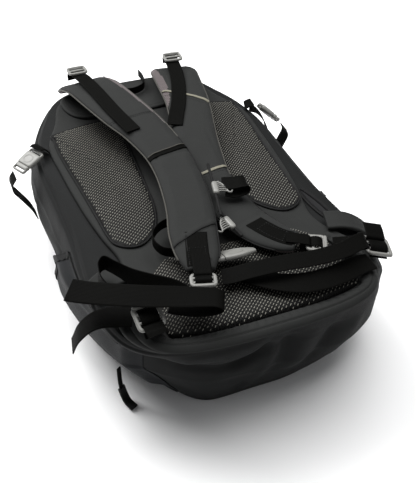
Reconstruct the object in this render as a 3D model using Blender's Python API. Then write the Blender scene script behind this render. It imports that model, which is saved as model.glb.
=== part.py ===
"""Ski backpack lying on its front, harness side up. Metres, +Z up, +Y to the top of the pack."""

import math

import bmesh
import bpy
import numpy as np
from mathutils import Matrix, Vector

# Driving sizes
DEPTH = 0.145          # front face to back panel seam
HALF_WIDTH = 0.178
HALF_LENGTH = 0.272
WALL = 0.0025          # fabric, lining and light padding together
GAP = 0.0003           # between pieces that touch
PANEL_T = 0.006        # foam back panel
LOBE_T = 0.0064
LUMBAR_T = 0.0124
BORDER_T = 0.0082
STRAP_T = 0.009
WEB_T = 0.0015         # webbing thickness
WEB_WIDE = 0.025       # hip webbing
WEB_NARROW = 0.020     # adjusters, load lifters, sternum
BAR = 0.0032           # thickness of buckle bars
RING_POINTS = 40
LEAN = 0.007           # how far the left side sits in
TUCK = 0.022           # how far the lower left corner sits in

for leftover in list(bpy.data.objects):
    bpy.data.objects.remove(leftover)

COLOURS = {
    "pack_fabric": (0.055, 0.060, 0.060),
    "lining": (0.25, 0.26, 0.27),
    "stretch_fabric": (0.012, 0.016, 0.022),
    "mesh_fabric": (0.16, 0.16, 0.14),
    "foam_fabric": (0.070, 0.075, 0.075),
    "webbing": (0.018, 0.020, 0.019),
    "hardware": (0.62, 0.62, 0.58),
    "zip_metal": (0.35, 0.35, 0.34),
    "zip": (0.02, 0.02, 0.02),
    "aluminium": (0.75, 0.76, 0.78),
    "sheet_plastic": (0.08, 0.08, 0.085),
}
MATERIALS = {}
for label, colour in COLOURS.items():
    material = bpy.data.materials.new(label)
    material.use_nodes = True
    shader = material.node_tree.nodes["Principled BSDF"]
    shader.inputs["Base Color"].default_value = (*colour, 1)
    shader.inputs["Roughness"].default_value = 0.7
    MATERIALS[label] = material


def add(name, bm, material, origin=(0, 0, 0)):
    """Makes the object with its origin on its joint axis; the mesh is given in the pack's frame."""
    bmesh.ops.recalc_face_normals(bm, faces=bm.faces)
    if bm.calc_volume(signed=True) < 0:
        bmesh.ops.reverse_faces(bm, faces=bm.faces)
    bmesh.ops.translate(bm, verts=bm.verts, vec=-Vector(origin))
    mesh = bpy.data.meshes.new(name)
    bm.to_mesh(mesh)
    bm.free()
    obj = bpy.data.objects.new(name, mesh)
    obj.location = origin
    obj.data.materials.append(MATERIALS[material])
    bpy.context.scene.collection.objects.link(obj)
    return obj


def combine(obj, bm, operation):
    """Boolean with a throwaway cutter given in the pack's frame."""
    cutter = add("cutter", bm, "zip")
    modifier = obj.modifiers.new("cut", "BOOLEAN")
    modifier.solver = "EXACT"
    modifier.operation = operation
    modifier.object = cutter
    bpy.context.view_layer.update()
    graph = bpy.context.evaluated_depsgraph_get()
    cut = bpy.data.meshes.new_from_object(obj.evaluated_get(graph))
    obj.modifiers.clear()
    obj.data = cut
    bpy.data.objects.remove(cutter)


def rings_to_solid(rings):
    bm = bmesh.new()
    rows = [[bm.verts.new(p) for p in ring] for ring in rings]
    for low, high in zip(rows, rows[1:]):
        for i in range(len(low)):
            j = (i + 1) % len(low)
            bm.faces.new((low[i], low[j], high[j], high[i]))
    bm.faces.new(rows[0])
    bm.faces.new(rows[-1])
    bm.normal_update()
    bmesh.ops.triangulate(bm, faces=bm.faces, ngon_method="EAR_CLIP")
    return bm


def block(low, high):
    bm = bmesh.new()
    size = Vector(high) - Vector(low)
    middle = (Vector(high) + Vector(low)) / 2
    matrix = Matrix.Translation(middle) @ Matrix.Diagonal((*size, 1))
    bmesh.ops.create_cube(bm, size=1, matrix=matrix)
    return bm


def body_block(low, high):
    """A block whose corners are drawn points."""
    return block(placed(low), placed(high))


def high_block(low, high):
    """A block whose height is measured down from the back panel seam."""
    return block((*placed((*low[:2], 0))[:2], DEPTH + low[2]), (*placed((*high[:2], 0))[:2], DEPTH + high[2]))


def turned(bm, matrix):
    bmesh.ops.transform(bm, matrix=matrix, verts=bm.verts)
    return bm


def seat(origin, along, normal):
    """Frame whose Y runs along, Z is the normal and X the width."""
    y = Vector(along).normalized()
    x = y.cross(Vector(normal)).normalized()
    z = x.cross(y)
    matrix = Matrix((x, y, z)).transposed().to_4x4()
    matrix.translation = Vector(origin)
    return matrix


def smooth(points, count, closed=False):
    """Catmull-Rom curve through the points, resampled evenly."""
    p = np.array(points, float)
    if closed:
        p = np.vstack([p[-1:], p, p[:2]])
    else:
        p = np.vstack([2 * p[:1] - p[1:2], p, 2 * p[-1:] - p[-2:-1]])
    fine = []
    for a, b, c, d in zip(p, p[1:], p[2:], p[3:]):
        for t in np.linspace(0, 1, 12, endpoint=False):
            fine.append(0.5 * (2 * b + (c - a) * t + (2 * a - 5 * b + 4 * c - d) * t**2
                               + (3 * b - a - 3 * c + d) * t**3))
    fine.append(p[-2])
    fine = np.array(fine)
    reach = np.concatenate([[0], np.cumsum(np.linalg.norm(np.diff(fine[:, :3], axis=0), axis=1))])
    at = np.linspace(0, reach[-1], count + 1)[:-1] if closed else np.linspace(0, reach[-1], count)
    return np.column_stack([np.interp(at, reach, fine[:, k]) for k in range(fine.shape[1])])


def mirrored(half):
    """Closed outline from its right half, listed from the bottom centre to the top centre."""
    left = [(-x, y) for x, y in reversed(half) if x > 1e-6]
    return list(half) + left


# The pack body: plan outlines at the floor, at full bulge and at the back panel
FLOOR = [(0, -0.835), (0.30, -0.83), (0.52, -0.775), (0.66, -0.68), (0.76, -0.53), (0.80, -0.33),
         (0.81, -0.1), (0.81, 0.1), (0.81, 0.3), (0.78, 0.48), (0.70, 0.62), (0.58, 0.74),
         (0.44, 0.80), (0.26, 0.83), (0, 0.84)]
BULGE = [(0, -0.955), (0.36, -0.95), (0.66, -0.925), (0.87, -0.84), (0.97, -0.69), (1.0, -0.48),
         (0.985, -0.2), (0.985, 0.08), (0.995, 0.33), (0.96, 0.55), (0.85, 0.735), (0.72, 0.86),
         (0.58, 0.945), (0.38, 0.985), (0, 1.0)]
TOP = [(0, -0.992), (0.32, -0.992), (0.58, -0.96), (0.78, -0.87), (0.865, -0.73), (0.88, -0.5),
       (0.84, -0.2), (0.84, 0.08), (0.84, 0.32), (0.80, 0.53), (0.70, 0.70), (0.60, 0.83),
       (0.46, 0.905), (0.30, 0.93), (0, 0.935)]
LEVELS = [(0, 0, 0), (0.05, 0.14, 0), (0.22, 0.52, 0), (0.5, 0.96, 0), (0.76, 1, 0.12),
          (0.93, 1, 0.62), (1, 1, 1)]


# The routes and outlines below are drawn for this body; placed() moves them to the body that the sizes give
DRAWN_WIDTH, DRAWN_LENGTH, DRAWN_DEPTH = 0.178, 0.272, 0.145
DRAWN_PANEL, DRAWN_LUMBAR, DRAWN_STRAP = 0.006, 0.0124, 0.009


def ramp(value, low, high):
    t = np.clip((value - low) / (high - low), 0, 1)
    return t * t * (3 - 2 * t)


def placed(point, straps_under=0.0):
    """Where a drawn point goes; straps_under says how many strap thicknesses lie under it."""
    x, y, z = point[:3]
    if z > DRAWN_DEPTH:
        z += DEPTH - DRAWN_DEPTH + PANEL_T - DRAWN_PANEL + straps_under * (STRAP_T - DRAWN_STRAP)
        z += float(ramp(-y, 0.10, 0.14)) * (LUMBAR_T - DRAWN_LUMBAR)
    else:
        z *= DEPTH / DRAWN_DEPTH
    return x * (HALF_WIDTH / DRAWN_WIDTH), y * (HALF_LENGTH / DRAWN_LENGTH), z


def slumped(x, y, z):
    """The soft body leans a little to one side and its lower left corner is tucked in."""
    left, low, level = -x * DRAWN_WIDTH / HALF_WIDTH, -y * DRAWN_LENGTH / HALF_LENGTH, z * DRAWN_DEPTH / DEPTH
    side = ramp(left, 0.03, 0.15) * (1 - ramp(level, 0.105, 0.140))
    corner = ramp(left, 0.04, 0.15) * ramp(low, 0.06, 0.21) * (1 - ramp(level, 0.100, 0.138))
    wide, tall = HALF_WIDTH / DRAWN_WIDTH, HALF_LENGTH / DRAWN_LENGTH
    return x + (LEAN * side + TUCK * corner) * wide, y + 0.7 * TUCK * corner * tall, z


def hull(offset):
    """The body's outside grown by offset; negative gives the inside of the wall."""
    scale = np.array([HALF_WIDTH, HALF_LENGTH])
    rings = []
    for height, bulge, top in LEVELS:
        half = (1 - bulge) * np.array(FLOOR) + bulge * np.array(BULGE)
        half = (1 - top) * half + top * np.array(TOP)
        outline = smooth(mirrored([tuple(p) for p in half * scale]), RING_POINTS, closed=True)
        tangent = np.roll(outline, -1, 0) - np.roll(outline, 1, 0)
        normal = np.column_stack([tangent[:, 1], -tangent[:, 0]])
        normal /= np.linalg.norm(normal, axis=1)[:, None]
        outline = outline + normal * offset
        z = -offset + (DEPTH + 2 * offset) * height
        rings.append([slumped(x, y, z) for x, y in outline])
    return rings_to_solid(rings)


def slab(name, outline, low, high, chamfer, material, origin=(0, 0, 0)):
    """Flat pad of that plan outline, its upper edge chamfered."""
    points = np.array(outline) * (HALF_WIDTH / DRAWN_WIDTH, HALF_LENGTH / DRAWN_LENGTH)
    side = np.roll(points, -1, 0) - points
    out = np.column_stack([side[:, 1], -side[:, 0]])
    out /= np.linalg.norm(out, axis=1)[:, None]
    before = np.roll(out, 1, 0)
    mitre = (out + before) / (1 + np.sum(out * before, axis=1))[:, None]
    inner = points - mitre * chamfer
    rings = [[(x, y, low) for x, y in points]]
    rings.append([(x, y, high - chamfer * 0.8) for x, y in points])
    rings.append([(x, y, high) for x, y in inner])
    return add(name, rings_to_solid(rings), material, origin)


def ribbon(route, width, thick, rounded=False):
    """Band swept along (x, y, z, wx, wy, wz) stations; w is the direction of its width."""
    stations = np.array(route, float)
    points, across = stations[:, :3], stations[:, 3:6]
    tangent = np.gradient(points, axis=0)
    rings = []
    widths = width if hasattr(width, "__len__") else [width] * len(points)
    for p, t, w, wide in zip(points, tangent, across, widths):
        t = Vector(t).normalized()
        w = Vector(w)
        w = (w - t * w.dot(t)).normalized()
        n = w.cross(t)
        a, b = wide / 2, thick / 2
        if rounded:
            shape = [(-a, -b * 0.3), (-a + b, -b), (a - b, -b), (a, -b * 0.3),
                     (a, b * 0.3), (a - b, b), (-a + b, b), (-a, b * 0.3)]
        else:
            shape = [(-a, -b), (a, -b), (a, b), (-a, b)]
        rings.append([Vector(p) + w * u + n * v for u, v in shape])
    return rings_to_solid(rings)


def flat(route, across, straps_under=0.0):
    return [(*placed(p, straps_under), *across) for p in route]


def laid(route, straps_under=0.0):
    """Stations with a width direction each."""
    return [(*placed(p, straps_under), *p[3:]) for p in route]


def web(name, route, width, count, material="webbing", origin=(0, 0, 0)):
    return add(name, ribbon(smooth(route, count), width, WEB_T), material, origin)


# %% Bag
bag = add("main_bag", hull(0), "pack_fabric")
combine(bag, hull(-WALL), "DIFFERENCE")
MOUTH = (0.080, 0.048, 0.118)      # half width, lowest and highest point of the main opening
combine(bag, body_block((-MOUTH[0], 0.20, MOUTH[1]), (MOUTH[0], 0.30, MOUTH[2])), "DIFFERENCE")
combine(bag, body_block((-0.080, 0.18, 0.011), (0.080, 0.30, 0.022)), "DIFFERENCE")
# slit of the zipped pocket beside the right wing
combine(bag, body_block((0.130, -0.150, 0.118), (0.200, -0.085, 0.128)), "DIFFERENCE")

lid = add("top_lid", hull(0.003), "pack_fabric", placed((0, 0.2610, 0.1275)))
combine(lid, body_block((-0.086, 0.18, 0.042), (0.062, 0.32, 0.1245)), "INTERSECT")
combine(lid, hull(0.0005), "DIFFERENCE")

tape = add("main_zip_tape", hull(0.0017), "zip")
combine(tape, body_block((-0.100, 0.15, 0.0295), (0.100, 0.32, 0.0412)), "INTERSECT")
combine(tape, hull(0.0004), "DIFFERENCE")

for side, x in (("left", -0.034), ("right", 0.034)):
    bm = body_block((x - 0.005, 0.2568, 0.0315), (x + 0.005, 0.2603, 0.0395))
    pull = add(f"main_zip_slider_{side}", bm, "zip_metal", placed((x, 0.258, 0.0355)))
    combine(pull, body_block((x - 0.0022, 0.2578, 0.0110), (x + 0.0022, 0.2596, 0.0330)), "UNION")

inner = smooth(mirrored([(0, -0.214), (0.06, -0.210), (0.100, -0.180), (0.122, -0.125), (0.134, -0.04),
                         (0.134, 0.06), (0.128, 0.130), (0.100, 0.190), (0.055, 0.215), (0, 0.220)]),
               24, closed=True)
slab("front_pocket_divider", inner, 0.0270 * DEPTH / DRAWN_DEPTH, 0.0270 * DEPTH / DRAWN_DEPTH + 0.0012, 0.0003, "lining")
sheet = mirrored([(0, -0.225), (0.085, -0.222), (0.115, -0.190), (0.122, -0.05), (0.122, 0.08),
                  (0.105, 0.165), (0.070, 0.205), (0, 0.212)])
slab("frame_sheet", sheet, DEPTH - 0.0050, DEPTH - 0.0035, 0.0003, "sheet_plastic")
for side, x in (("left", -0.052), ("right", 0.052)):
    add(f"frame_stay_{side}", high_block((x - 0.006, -0.205, -0.0085), (x + 0.006, 0.190, -0.0053)), "aluminium")
sleeve = add("hydration_sleeve", high_block((-0.095, -0.190, -0.0260), (0.095, 0.165, -0.0088)), "lining")
combine(sleeve, high_block((-0.093, -0.188, -0.0245), (0.093, 0.20, -0.0068)), "DIFFERENCE")

# %% Side pockets: stretch pouches open towards the top of the pack
for side, s in (("left", -1), ("right", 1)):
    reach = sorted((s * 0.105, s * 0.230))
    pocket = add(f"side_pocket_{side}", hull(0.0105), "stretch_fabric")
    combine(pocket, body_block((reach[0], -0.215, 0.018), (reach[1], -0.030, 0.112)), "INTERSECT")
    hollow = add("hollow", hull(0.0090), "stretch_fabric")
    combine(hollow, body_block((reach[0] - 0.01, -0.2135, 0.0195), (reach[1] + 0.01, 0.02, 0.1105)), "INTERSECT")
    bm = bmesh.new()
    bm.from_mesh(hollow.data)
    bpy.data.objects.remove(hollow)
    combine(pocket, bm, "DIFFERENCE")
    combine(pocket, hull(0.0004), "DIFFERENCE")

# %% Back panel, mesh pads and yoke
z0 = DEPTH + GAP
PANEL_TOP = z0 + PANEL_T
PAD_LOW = PANEL_TOP + GAP
panel = mirrored([(0, -0.264), (0.095, -0.264), (0.128, -0.252), (0.147, -0.222), (0.143, -0.185),
                  (0.124, -0.150), (0.118, -0.118), (0.126, -0.075), (0.133, -0.02), (0.138, 0.06),
                  (0.138, 0.120), (0.118, 0.170), (0.100, 0.218), (0.06, 0.238), (0, 0.242)])
slab("back_panel", smooth(panel, 44, closed=True), z0, PANEL_TOP, 0.0022, "foam_fabric")
lobe = [(0.047, 0.148), (0.124, 0.139), (0.1285, 0.127), (0.1290, 0.085), (0.1245, 0.02),
        (0.1210, -0.04), (0.1180, -0.085), (0.1110, -0.100), (0.0960, -0.107), (0.0820, -0.103),
        (0.0690, -0.090), (0.0600, -0.073), (0.0530, -0.045), (0.0500, -0.015), (0.0460, 0.04),
        (0.0430, 0.10)]
lobe_smooth = smooth(lobe[::-1], 30, closed=True)
for side, s in (("left", -1), ("right", 1)):
    outline = [(s * x, y) for x, y in lobe_smooth]
    outline = outline if s > 0 else outline[::-1]
    slab(f"mesh_lobe_{side}", outline, PAD_LOW, PAD_LOW + LOBE_T, 0.003, "mesh_fabric")
lumbar = mirrored([(0, -0.2565), (0.06, -0.256), (0.100, -0.250), (0.108, -0.240), (0.108, -0.190),
                   (0.102, -0.172), (0.082, -0.148), (0.060, -0.142), (0, -0.141)])
lumbar_smooth = smooth(lumbar, 32, closed=True)
slab("lumbar_pad", lumbar_smooth, PAD_LOW, PAD_LOW + LUMBAR_T, 0.005, "mesh_fabric")
outer = [(0.118, -0.163), (0.131, -0.185), (0.139, -0.215), (0.134, -0.245), (0.118, -0.264),
         (0.088, -0.275), (0.045, -0.280), (0, -0.281)]
inside = [(0.1085, -0.169), (0.1118, -0.182), (0.1125, -0.200), (0.1125, -0.240), (0.1050, -0.2530),
          (0.0850, -0.2570), (0.045, -0.2600), (0, -0.2602)]
border = [(x, y) for x, y in outer] + [(-x, y) for x, y in outer[-2::-1]]
border += [(-x, y) for x, y in inside] + [(x, y) for x, y in inside[-2::-1]]
slab("lumbar_border", border[::-1], PAD_LOW, PAD_LOW + BORDER_T, 0.0025, "foam_fabric")
yoke = mirrored([(0, 0.158), (0.040, 0.160), (0.080, 0.166), (0.097, 0.190), (0.094, 0.222),
                 (0.05, 0.2365), (0, 0.2375)])
slab("harness_yoke", yoke, PAD_LOW, PAD_LOW + 0.0042, 0.0012, "foam_fabric", placed((0, 0.234, 0.1516)))

# %% Shoulder straps
YOKE_AXIS = placed((0, 0.2400, 0.1620))
LEFT = [(-0.067, 0.2350, 0.1612), (-0.066, 0.226, 0.1680), (-0.063, 0.208, 0.1790), (-0.058, 0.180, 0.1885), (-0.051, 0.144, 0.1920),
        (-0.038, 0.094, 0.1920), (-0.027, 0.057, 0.1900), (-0.0185, 0.008, 0.1875), (-0.0185, -0.034, 0.1860),
        (-0.024, -0.076, 0.1850), (-0.031, -0.109, 0.1840), (-0.041, -0.143, 0.1830), (-0.048, -0.174, 0.1820),
        (-0.0535, -0.196, 0.1810)]
LEFT_W = [0.060, 0.062, 0.066, 0.068, 0.068, 0.066, 0.060, 0.054, 0.052, 0.052, 0.052, 0.052, 0.046, 0.030]
RIGHT = [(0.072, 0.2350, 0.1612), (0.071, 0.226, 0.1665), (0.068, 0.208, 0.1730), (0.063, 0.177, 0.1765), (0.055, 0.123, 0.1780),
         (0.045, 0.081, 0.1770), (0.035, 0.042, 0.1750), (0.028, 0.0065, 0.1715), (0.023, -0.029, 0.1690),
         (0.0215, -0.066, 0.1685), (0.025, -0.104, 0.1685), (0.033, -0.136, 0.1695), (0.042, -0.158, 0.1710),
         (0.053, -0.173, 0.1712), (0.0645, -0.1815, 0.1708)]
RIGHT_W = [0.058, 0.060, 0.064, 0.062, 0.058, 0.056, 0.055, 0.054, 0.052, 0.052, 0.052, 0.050, 0.047, 0.040, 0.030]


def level_across(route, straps_under):
    """Width directions that stay level and square to the path."""
    points = [placed(p, straps_under) for p in route]
    t = np.gradient(np.array(points), axis=0)
    w = np.column_stack([t[:, 1], -t[:, 0], np.zeros(len(t))])
    return [(*p, *v) for p, v in zip(points, w)]


for side, route, wide, under in (("left", LEFT, LEFT_W, 1.5), ("right", RIGHT, RIGHT_W, 0.5)):
    both = smooth(np.column_stack([level_across(route, under), wide]), 22)
    bm = ribbon(both[:, :6], both[:, 6], STRAP_T, rounded=True)
    add(f"shoulder_strap_{side}", bm, "foam_fabric", (both[0, 0], *YOKE_AXIS[1:]))

lift_left = [(-0.0705, 0.236, 0.1740), (-0.0705, 0.2365, 0.1830), (-0.0700, 0.230, 0.1888),
             (-0.0690, 0.215, 0.1915), (-0.0665, 0.190, 0.1968), (-0.0620, 0.150, 0.2003),
             (-0.0550, 0.100, 0.2000), (-0.0475, 0.065, 0.1985), (-0.0440, 0.050, 0.1975)]
web("load_lifter_left", flat(lift_left, (1, 0.18, 0), 2), WEB_NARROW, 18)
lift_right = [(0.0720, 0.236, 0.1740), (0.0715, 0.2365, 0.1815), (0.0700, 0.230, 0.1862),
              (0.0680, 0.215, 0.1868), (0.0640, 0.190, 0.1862), (0.0555, 0.157, 0.1855),
              (0.0400, 0.115, 0.1850), (0.0240, 0.082, 0.1842), (0.0165, 0.066, 0.1825)]
web("load_lifter_right", flat(lift_right, (0.93, -0.36, 0), 1), WEB_NARROW, 18)


def frame_buckle(name, matrix, length, width, bars, origin=(0, 0, 0), material="hardware"):
    """Flat frame with cross bars; Y along the webbing, X across it."""
    bm = block((-width / 2, -length / 2, -BAR / 2), (width / 2, length / 2, BAR / 2))
    obj = add(name, turned(bm, matrix), material)
    edges = [-length / 2 + BAR / 2, *bars, length / 2 - BAR / 2]
    for low, high in zip(edges, edges[1:]):
        cut = block((-width / 2 + BAR, low + BAR / 2, -BAR), (width / 2 - BAR, high - BAR / 2, BAR))
        combine(obj, turned(cut, matrix), "DIFFERENCE")
    obj.data.transform(Matrix.Translation(-Vector(origin)))
    obj.location = origin
    return obj


frame_buckle("lifter_buckle_left", seat(placed((-0.0694, 0.2195, 0.1950), 2), (0.02, -1, 0.10), (0, 0.10, 1)),
             0.020, 0.027, [0])
frame_buckle("lifter_buckle_right", seat(placed((0.0710, 0.2215, 0.1900), 1), (-0.09, -1, 0), (0, 0, 1)),
             0.020, 0.027, [0])

# Ladder locks at the strap ends, each hung in a sewn webbing tab
LOCKS = {"strap": (0.025, 0.0285), "hip": (0.030, 0.0330)}      # length and width


def lock_with_tab(side, owner, pivot, along, normal, tail):
    """A ladder lock pivoting on its first bar, and the tab that holds that bar."""
    length, wide = LOCKS[owner]
    place = seat(pivot, along, normal)
    centre = place @ Vector((0, (length - BAR) / 2, 0))
    frame = seat(centre, along, normal)
    frame_buckle(f"{owner}_lock_{side}", frame, length, wide, [-0.15 * length], tuple(pivot))
    more = (STRAP_T - DRAWN_STRAP) / 2 if owner == "strap" else 0.0
    loop = [(0, -tail, 0.0062 + more), (0, -tail * 0.5, 0.0058 + more), (0, -0.003, 0.0046 + more), (0, 0.0020, 0.0036),
            (0, 0.0036, 0), (0, 0.0020, -0.0036), (0, -0.003, -0.0046 - more), (0, -0.0075, -0.0054 - more)]
    path = [(*(place @ Vector(p)), *(place.to_3x3() @ Vector((1, 0, 0)))) for p in loop]
    web(f"{owner}_tab_{side}", path, wide - 2 * BAR - 0.003, 16)


lock_with_tab("left", "strap", placed((-0.0550, -0.2040, 0.1818), 1.5), (-0.28, -1, -0.04), (0, -0.04, 1), 0.024)
lock_with_tab("right", "strap", placed((0.0755, -0.1870, 0.1712), 0.5), (0.90, -0.43, 0), (0, 0, 1), 0.024)

# %% Loose adjuster webbing, from the locks to the bottom corners of the pack
left_adjuster = [(-0.0640, -0.2310, 0.1700, 0.70, 0.60, 0.10), (-0.0750, -0.2190, 0.1705, 0.62, 0.62, 0.30),
                 (-0.0890, -0.2050, 0.1755, 0.40, 0.50, 0.80), (-0.1060, -0.1930, 0.1775, 0.25, 0.40, 0.90),
                 (-0.1220, -0.1790, 0.1790, 0.15, 0.25, 0.97), (-0.1335, -0.1610, 0.1790, 0.0, 0.1, 1),
                 (-0.1420, -0.1480, 0.1780, 0.1, 0.0, 1), (-0.1500, -0.1530, 0.1760, 0.1, 0.1, 1),
                 (-0.1520, -0.1680, 0.1720, 0.0, 0.1, 1), (-0.1480, -0.1840, 0.1700, 0.0, 0.1, 1)]
web("adjuster_left", laid(left_adjuster), WEB_NARROW, 26)
right_adjuster = [(0.1020, -0.1990, 0.1700), (0.1130, -0.2030, 0.1710), (0.1240, -0.2080, 0.1725),
                  (0.1330, -0.2120, 0.1760), (0.1310, -0.2140, 0.1800), (0.1220, -0.2160, 0.1820),
                  (0.0970, -0.2230, 0.1835), (0.0620, -0.2235, 0.1840), (0.0290, -0.2185, 0.1835),
                  (-0.0040, -0.2125, 0.1790), (-0.0230, -0.2080, 0.1740), (-0.0340, -0.2050, 0.1725)]
web("adjuster_right", flat(right_adjuster, (0.12, 0.95, 0.22)), WEB_NARROW, 30)

# %% Hip belt: short wings, ladder locks in tabs, webbing and the centre buckle
for side, s in (("left", -1), ("right", 1)):
    wing = [(s * 0.1235, -0.1450, 0.1560), (s * 0.1400, -0.1500, 0.1560), (s * 0.1540, -0.1560, 0.1530),
            (s * 0.1660, -0.1620, 0.1460)]
    if s > 0:
        wing.append((0.1750, -0.1670, 0.1360))
    wing_width = list(np.linspace(0.031, 0.028, 8))
    bm = ribbon(smooth(flat(wing, (0.20 * s, 1, 0)), 8), wing_width, 0.0050, rounded=True)
    add(f"hip_wing_{side}", bm, "foam_fabric")
lock_with_tab("left", "hip", placed((-0.1225, -0.2440, 0.1700)), (-0.08, 0.82, 0.42), (0, -0.42, 0.82), 0.010)
lock_with_tab("right", "hip", placed((0.1570, -0.1960, 0.1600)), (-0.25, -0.95, -0.05), (0.25, -0.1, 1), 0.018)
left_hip = [(-0.0975, -0.2265, 0.1772), (-0.0890, -0.2330, 0.1775), (-0.0740, -0.2425, 0.1790),
            (-0.0600, -0.2482, 0.1812), (-0.0520, -0.2512, 0.1855), (-0.0545, -0.2498, 0.1900),
            (-0.0640, -0.2455, 0.1922), (-0.0950, -0.2340, 0.1930), (-0.1280, -0.2200, 0.1925),
            (-0.1560, -0.2030, 0.1890), (-0.1760, -0.1870, 0.1840), (-0.1870, -0.1740, 0.1790)]
left_hip_across = [(0.50, 0.86, 0.10)] * 3 + [(0.46, 0.89, 0.05)] + [(0.42, 0.91, 0)] * 2 + [(0.40, 0.91, 0.05)]
left_hip_across += [(0.34, 0.90, 0.20)] + [(0.34, 0.84, 0.26)] * 4
left_hip = [(*p, *w) for p, w in zip(left_hip, left_hip_across)]
web("hip_webbing_left", laid(left_hip, 1), WEB_WIDE, 76)
left_tail = [(-0.1350, -0.2180, 0.1640), (-0.1480, -0.2120, 0.1625), (-0.1600, -0.2040, 0.1580),
             (-0.1730, -0.1980, 0.1500), (-0.1860, -0.1960, 0.1370), (-0.1940, -0.1960, 0.1210)]
web("hip_tail_left", flat(left_tail, (0.30, 0.95, 0.12)), WEB_WIDE, 14)
right_hip = [(0.1310, -0.2320, 0.1642), (0.1160, -0.2330, 0.1655), (0.0800, -0.2420, 0.1695),
             (0.0480, -0.2420, 0.1705), (0.0250, -0.2330, 0.1700), (0.0080, -0.2200, 0.1690),
             (-0.0060, -0.2060, 0.1675), (-0.0160, -0.1950, 0.1665)]
right_hip_across = [(0.25, 0.95, 0.0), (0.22, 0.95, 0.10), (0.0, 1, 0.25), (-0.12, 0.98, 0.20),
                    (0.35, 0.90, 0.05), (0.55, 0.80, 0), (0.65, 0.72, 0), (0.65, 0.72, 0)]
web("hip_webbing_right", laid([(*p, *w) for p, w in zip(right_hip, right_hip_across)]), WEB_WIDE, 24)


def side_release(prefix, matrix, wide, length, material="hardware"):
    """Socket and plug; Y points from the socket's webbing bar to the plug."""
    thick = wide * 0.27
    socket = add(f"{prefix}_socket", turned(block((-wide / 2, 0, -thick / 2), (wide / 2, length, thick / 2)), matrix),
                 material)
    hollow = block((-wide * 0.36, length * 0.38, -thick * 0.26), (wide * 0.36, length * 1.1, thick * 0.26))
    combine(socket, turned(hollow, matrix), "DIFFERENCE")
    window = block((wide * 0.30, length * 0.45, -thick * 0.24), (wide * 0.60, length * 0.78, thick * 0.24))
    combine(socket, turned(window, matrix), "DIFFERENCE")
    window = block((-wide * 0.60, length * 0.45, -thick * 0.24), (-wide * 0.30, length * 0.78, thick * 0.24))
    combine(socket, turned(window, matrix), "DIFFERENCE")
    slot = block((-wide * 0.38, length * 0.10, -thick), (wide * 0.38, length * 0.20, thick))
    combine(socket, turned(slot, matrix), "DIFFERENCE")
    head = block((-wide * 0.46, length + 0.0006, -thick / 2), (wide * 0.46, length * 1.42, thick / 2))
    plug = add(f"{prefix}_plug", turned(head, matrix), material, matrix.translation)
    tongue = block((-wide * 0.33, length * 0.45, -thick * 0.20), (wide * 0.33, length * 1.2, thick * 0.20))
    cut = block((-wide * 0.16, length * 0.40, -thick), (wide * 0.16, length * 0.90, thick))
    plug.location = (0, 0, 0)
    plug.data.transform(Matrix.Translation(matrix.translation))
    combine(plug, turned(tongue, matrix), "UNION")
    combine(plug, turned(cut, matrix), "DIFFERENCE")
    slot = block((-wide * 0.36, length * 1.25, -thick), (wide * 0.36, length * 1.34, thick))
    combine(plug, turned(slot, matrix), "DIFFERENCE")
    plug.data.transform(Matrix.Translation(-matrix.translation))
    plug.location = matrix.translation
    return socket, plug


side_release("hip_buckle", seat(placed((0.0150, -0.1800, 0.1715)), (-1, 0.06, 0), (0, 0, 1)), 0.022, 0.036)

# %% Sternum strap: rails on the strap edges, clips that slide on them, webbing
RAIL_L = [(0.0200, -0.036, 0.1880), (-0.0015, -0.126, 0.1860)]
RAIL_R = [(0.0030, -0.112, 0.1790), (0.0085, -0.160, 0.1800)]


def tube(path, radius, sides=8):
    rings = []
    points = [Vector(p) for p in path]
    for i, p in enumerate(points):
        t = (points[min(i + 1, len(points) - 1)] - points[max(i - 1, 0)]).normalized()
        w = t.cross(Vector((0, 0, 1))).normalized()
        n = w.cross(t)
        rings.append([p + (w * math.cos(a) + n * math.sin(a)) * radius
                      for a in np.linspace(0, 2 * math.pi, sides, endpoint=False)])
    return rings_to_solid(rings)


def sternum_clip(side, rail, reach, normal):
    """Clip whose channel runs on the rail; reach is the way it stands off the strap."""
    a, b = [Vector(placed(p, 1.5 if side == "left" else 1)) for p in rail]
    middle = a.lerp(b, 0.5)
    place = seat(middle, b - a, normal)
    if place.to_3x3().col[0].dot(Vector(reach)) < 0:
        place = place @ Matrix.Diagonal((-1, 1, 1, 1))
    body = block((-0.0042, -0.0085, -0.0042), (0.0185, 0.0085, 0.0042))
    clip = add(f"sternum_clip_{side}", turned(body, place), "hardware")
    for low, high in (((-0.0025, -0.02, -0.0025), (0.0025, 0.02, 0.0025)),
                      ((-0.0062, -0.02, -0.0009), (0.0, 0.02, 0.0009)),
                      ((0.0072, -0.0062, -0.01), (0.0104, 0.0062, 0.01)),
                      ((0.0134, -0.0062, -0.01), (0.0160, 0.0062, 0.01)),
                      ((0.0042, -0.01, 0.0014), (0.02, 0.01, 0.01)),
                      ((0.0042, -0.01, -0.01), (0.02, 0.01, -0.0022))):
        combine(clip, turned(block(low, high), place), "DIFFERENCE")
    clip.data.transform(Matrix.Translation(-middle))
    clip.location = middle
    add(f"sternum_rail_{side}", tube([a, middle, b], 0.0018), "webbing")
    return place


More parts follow.
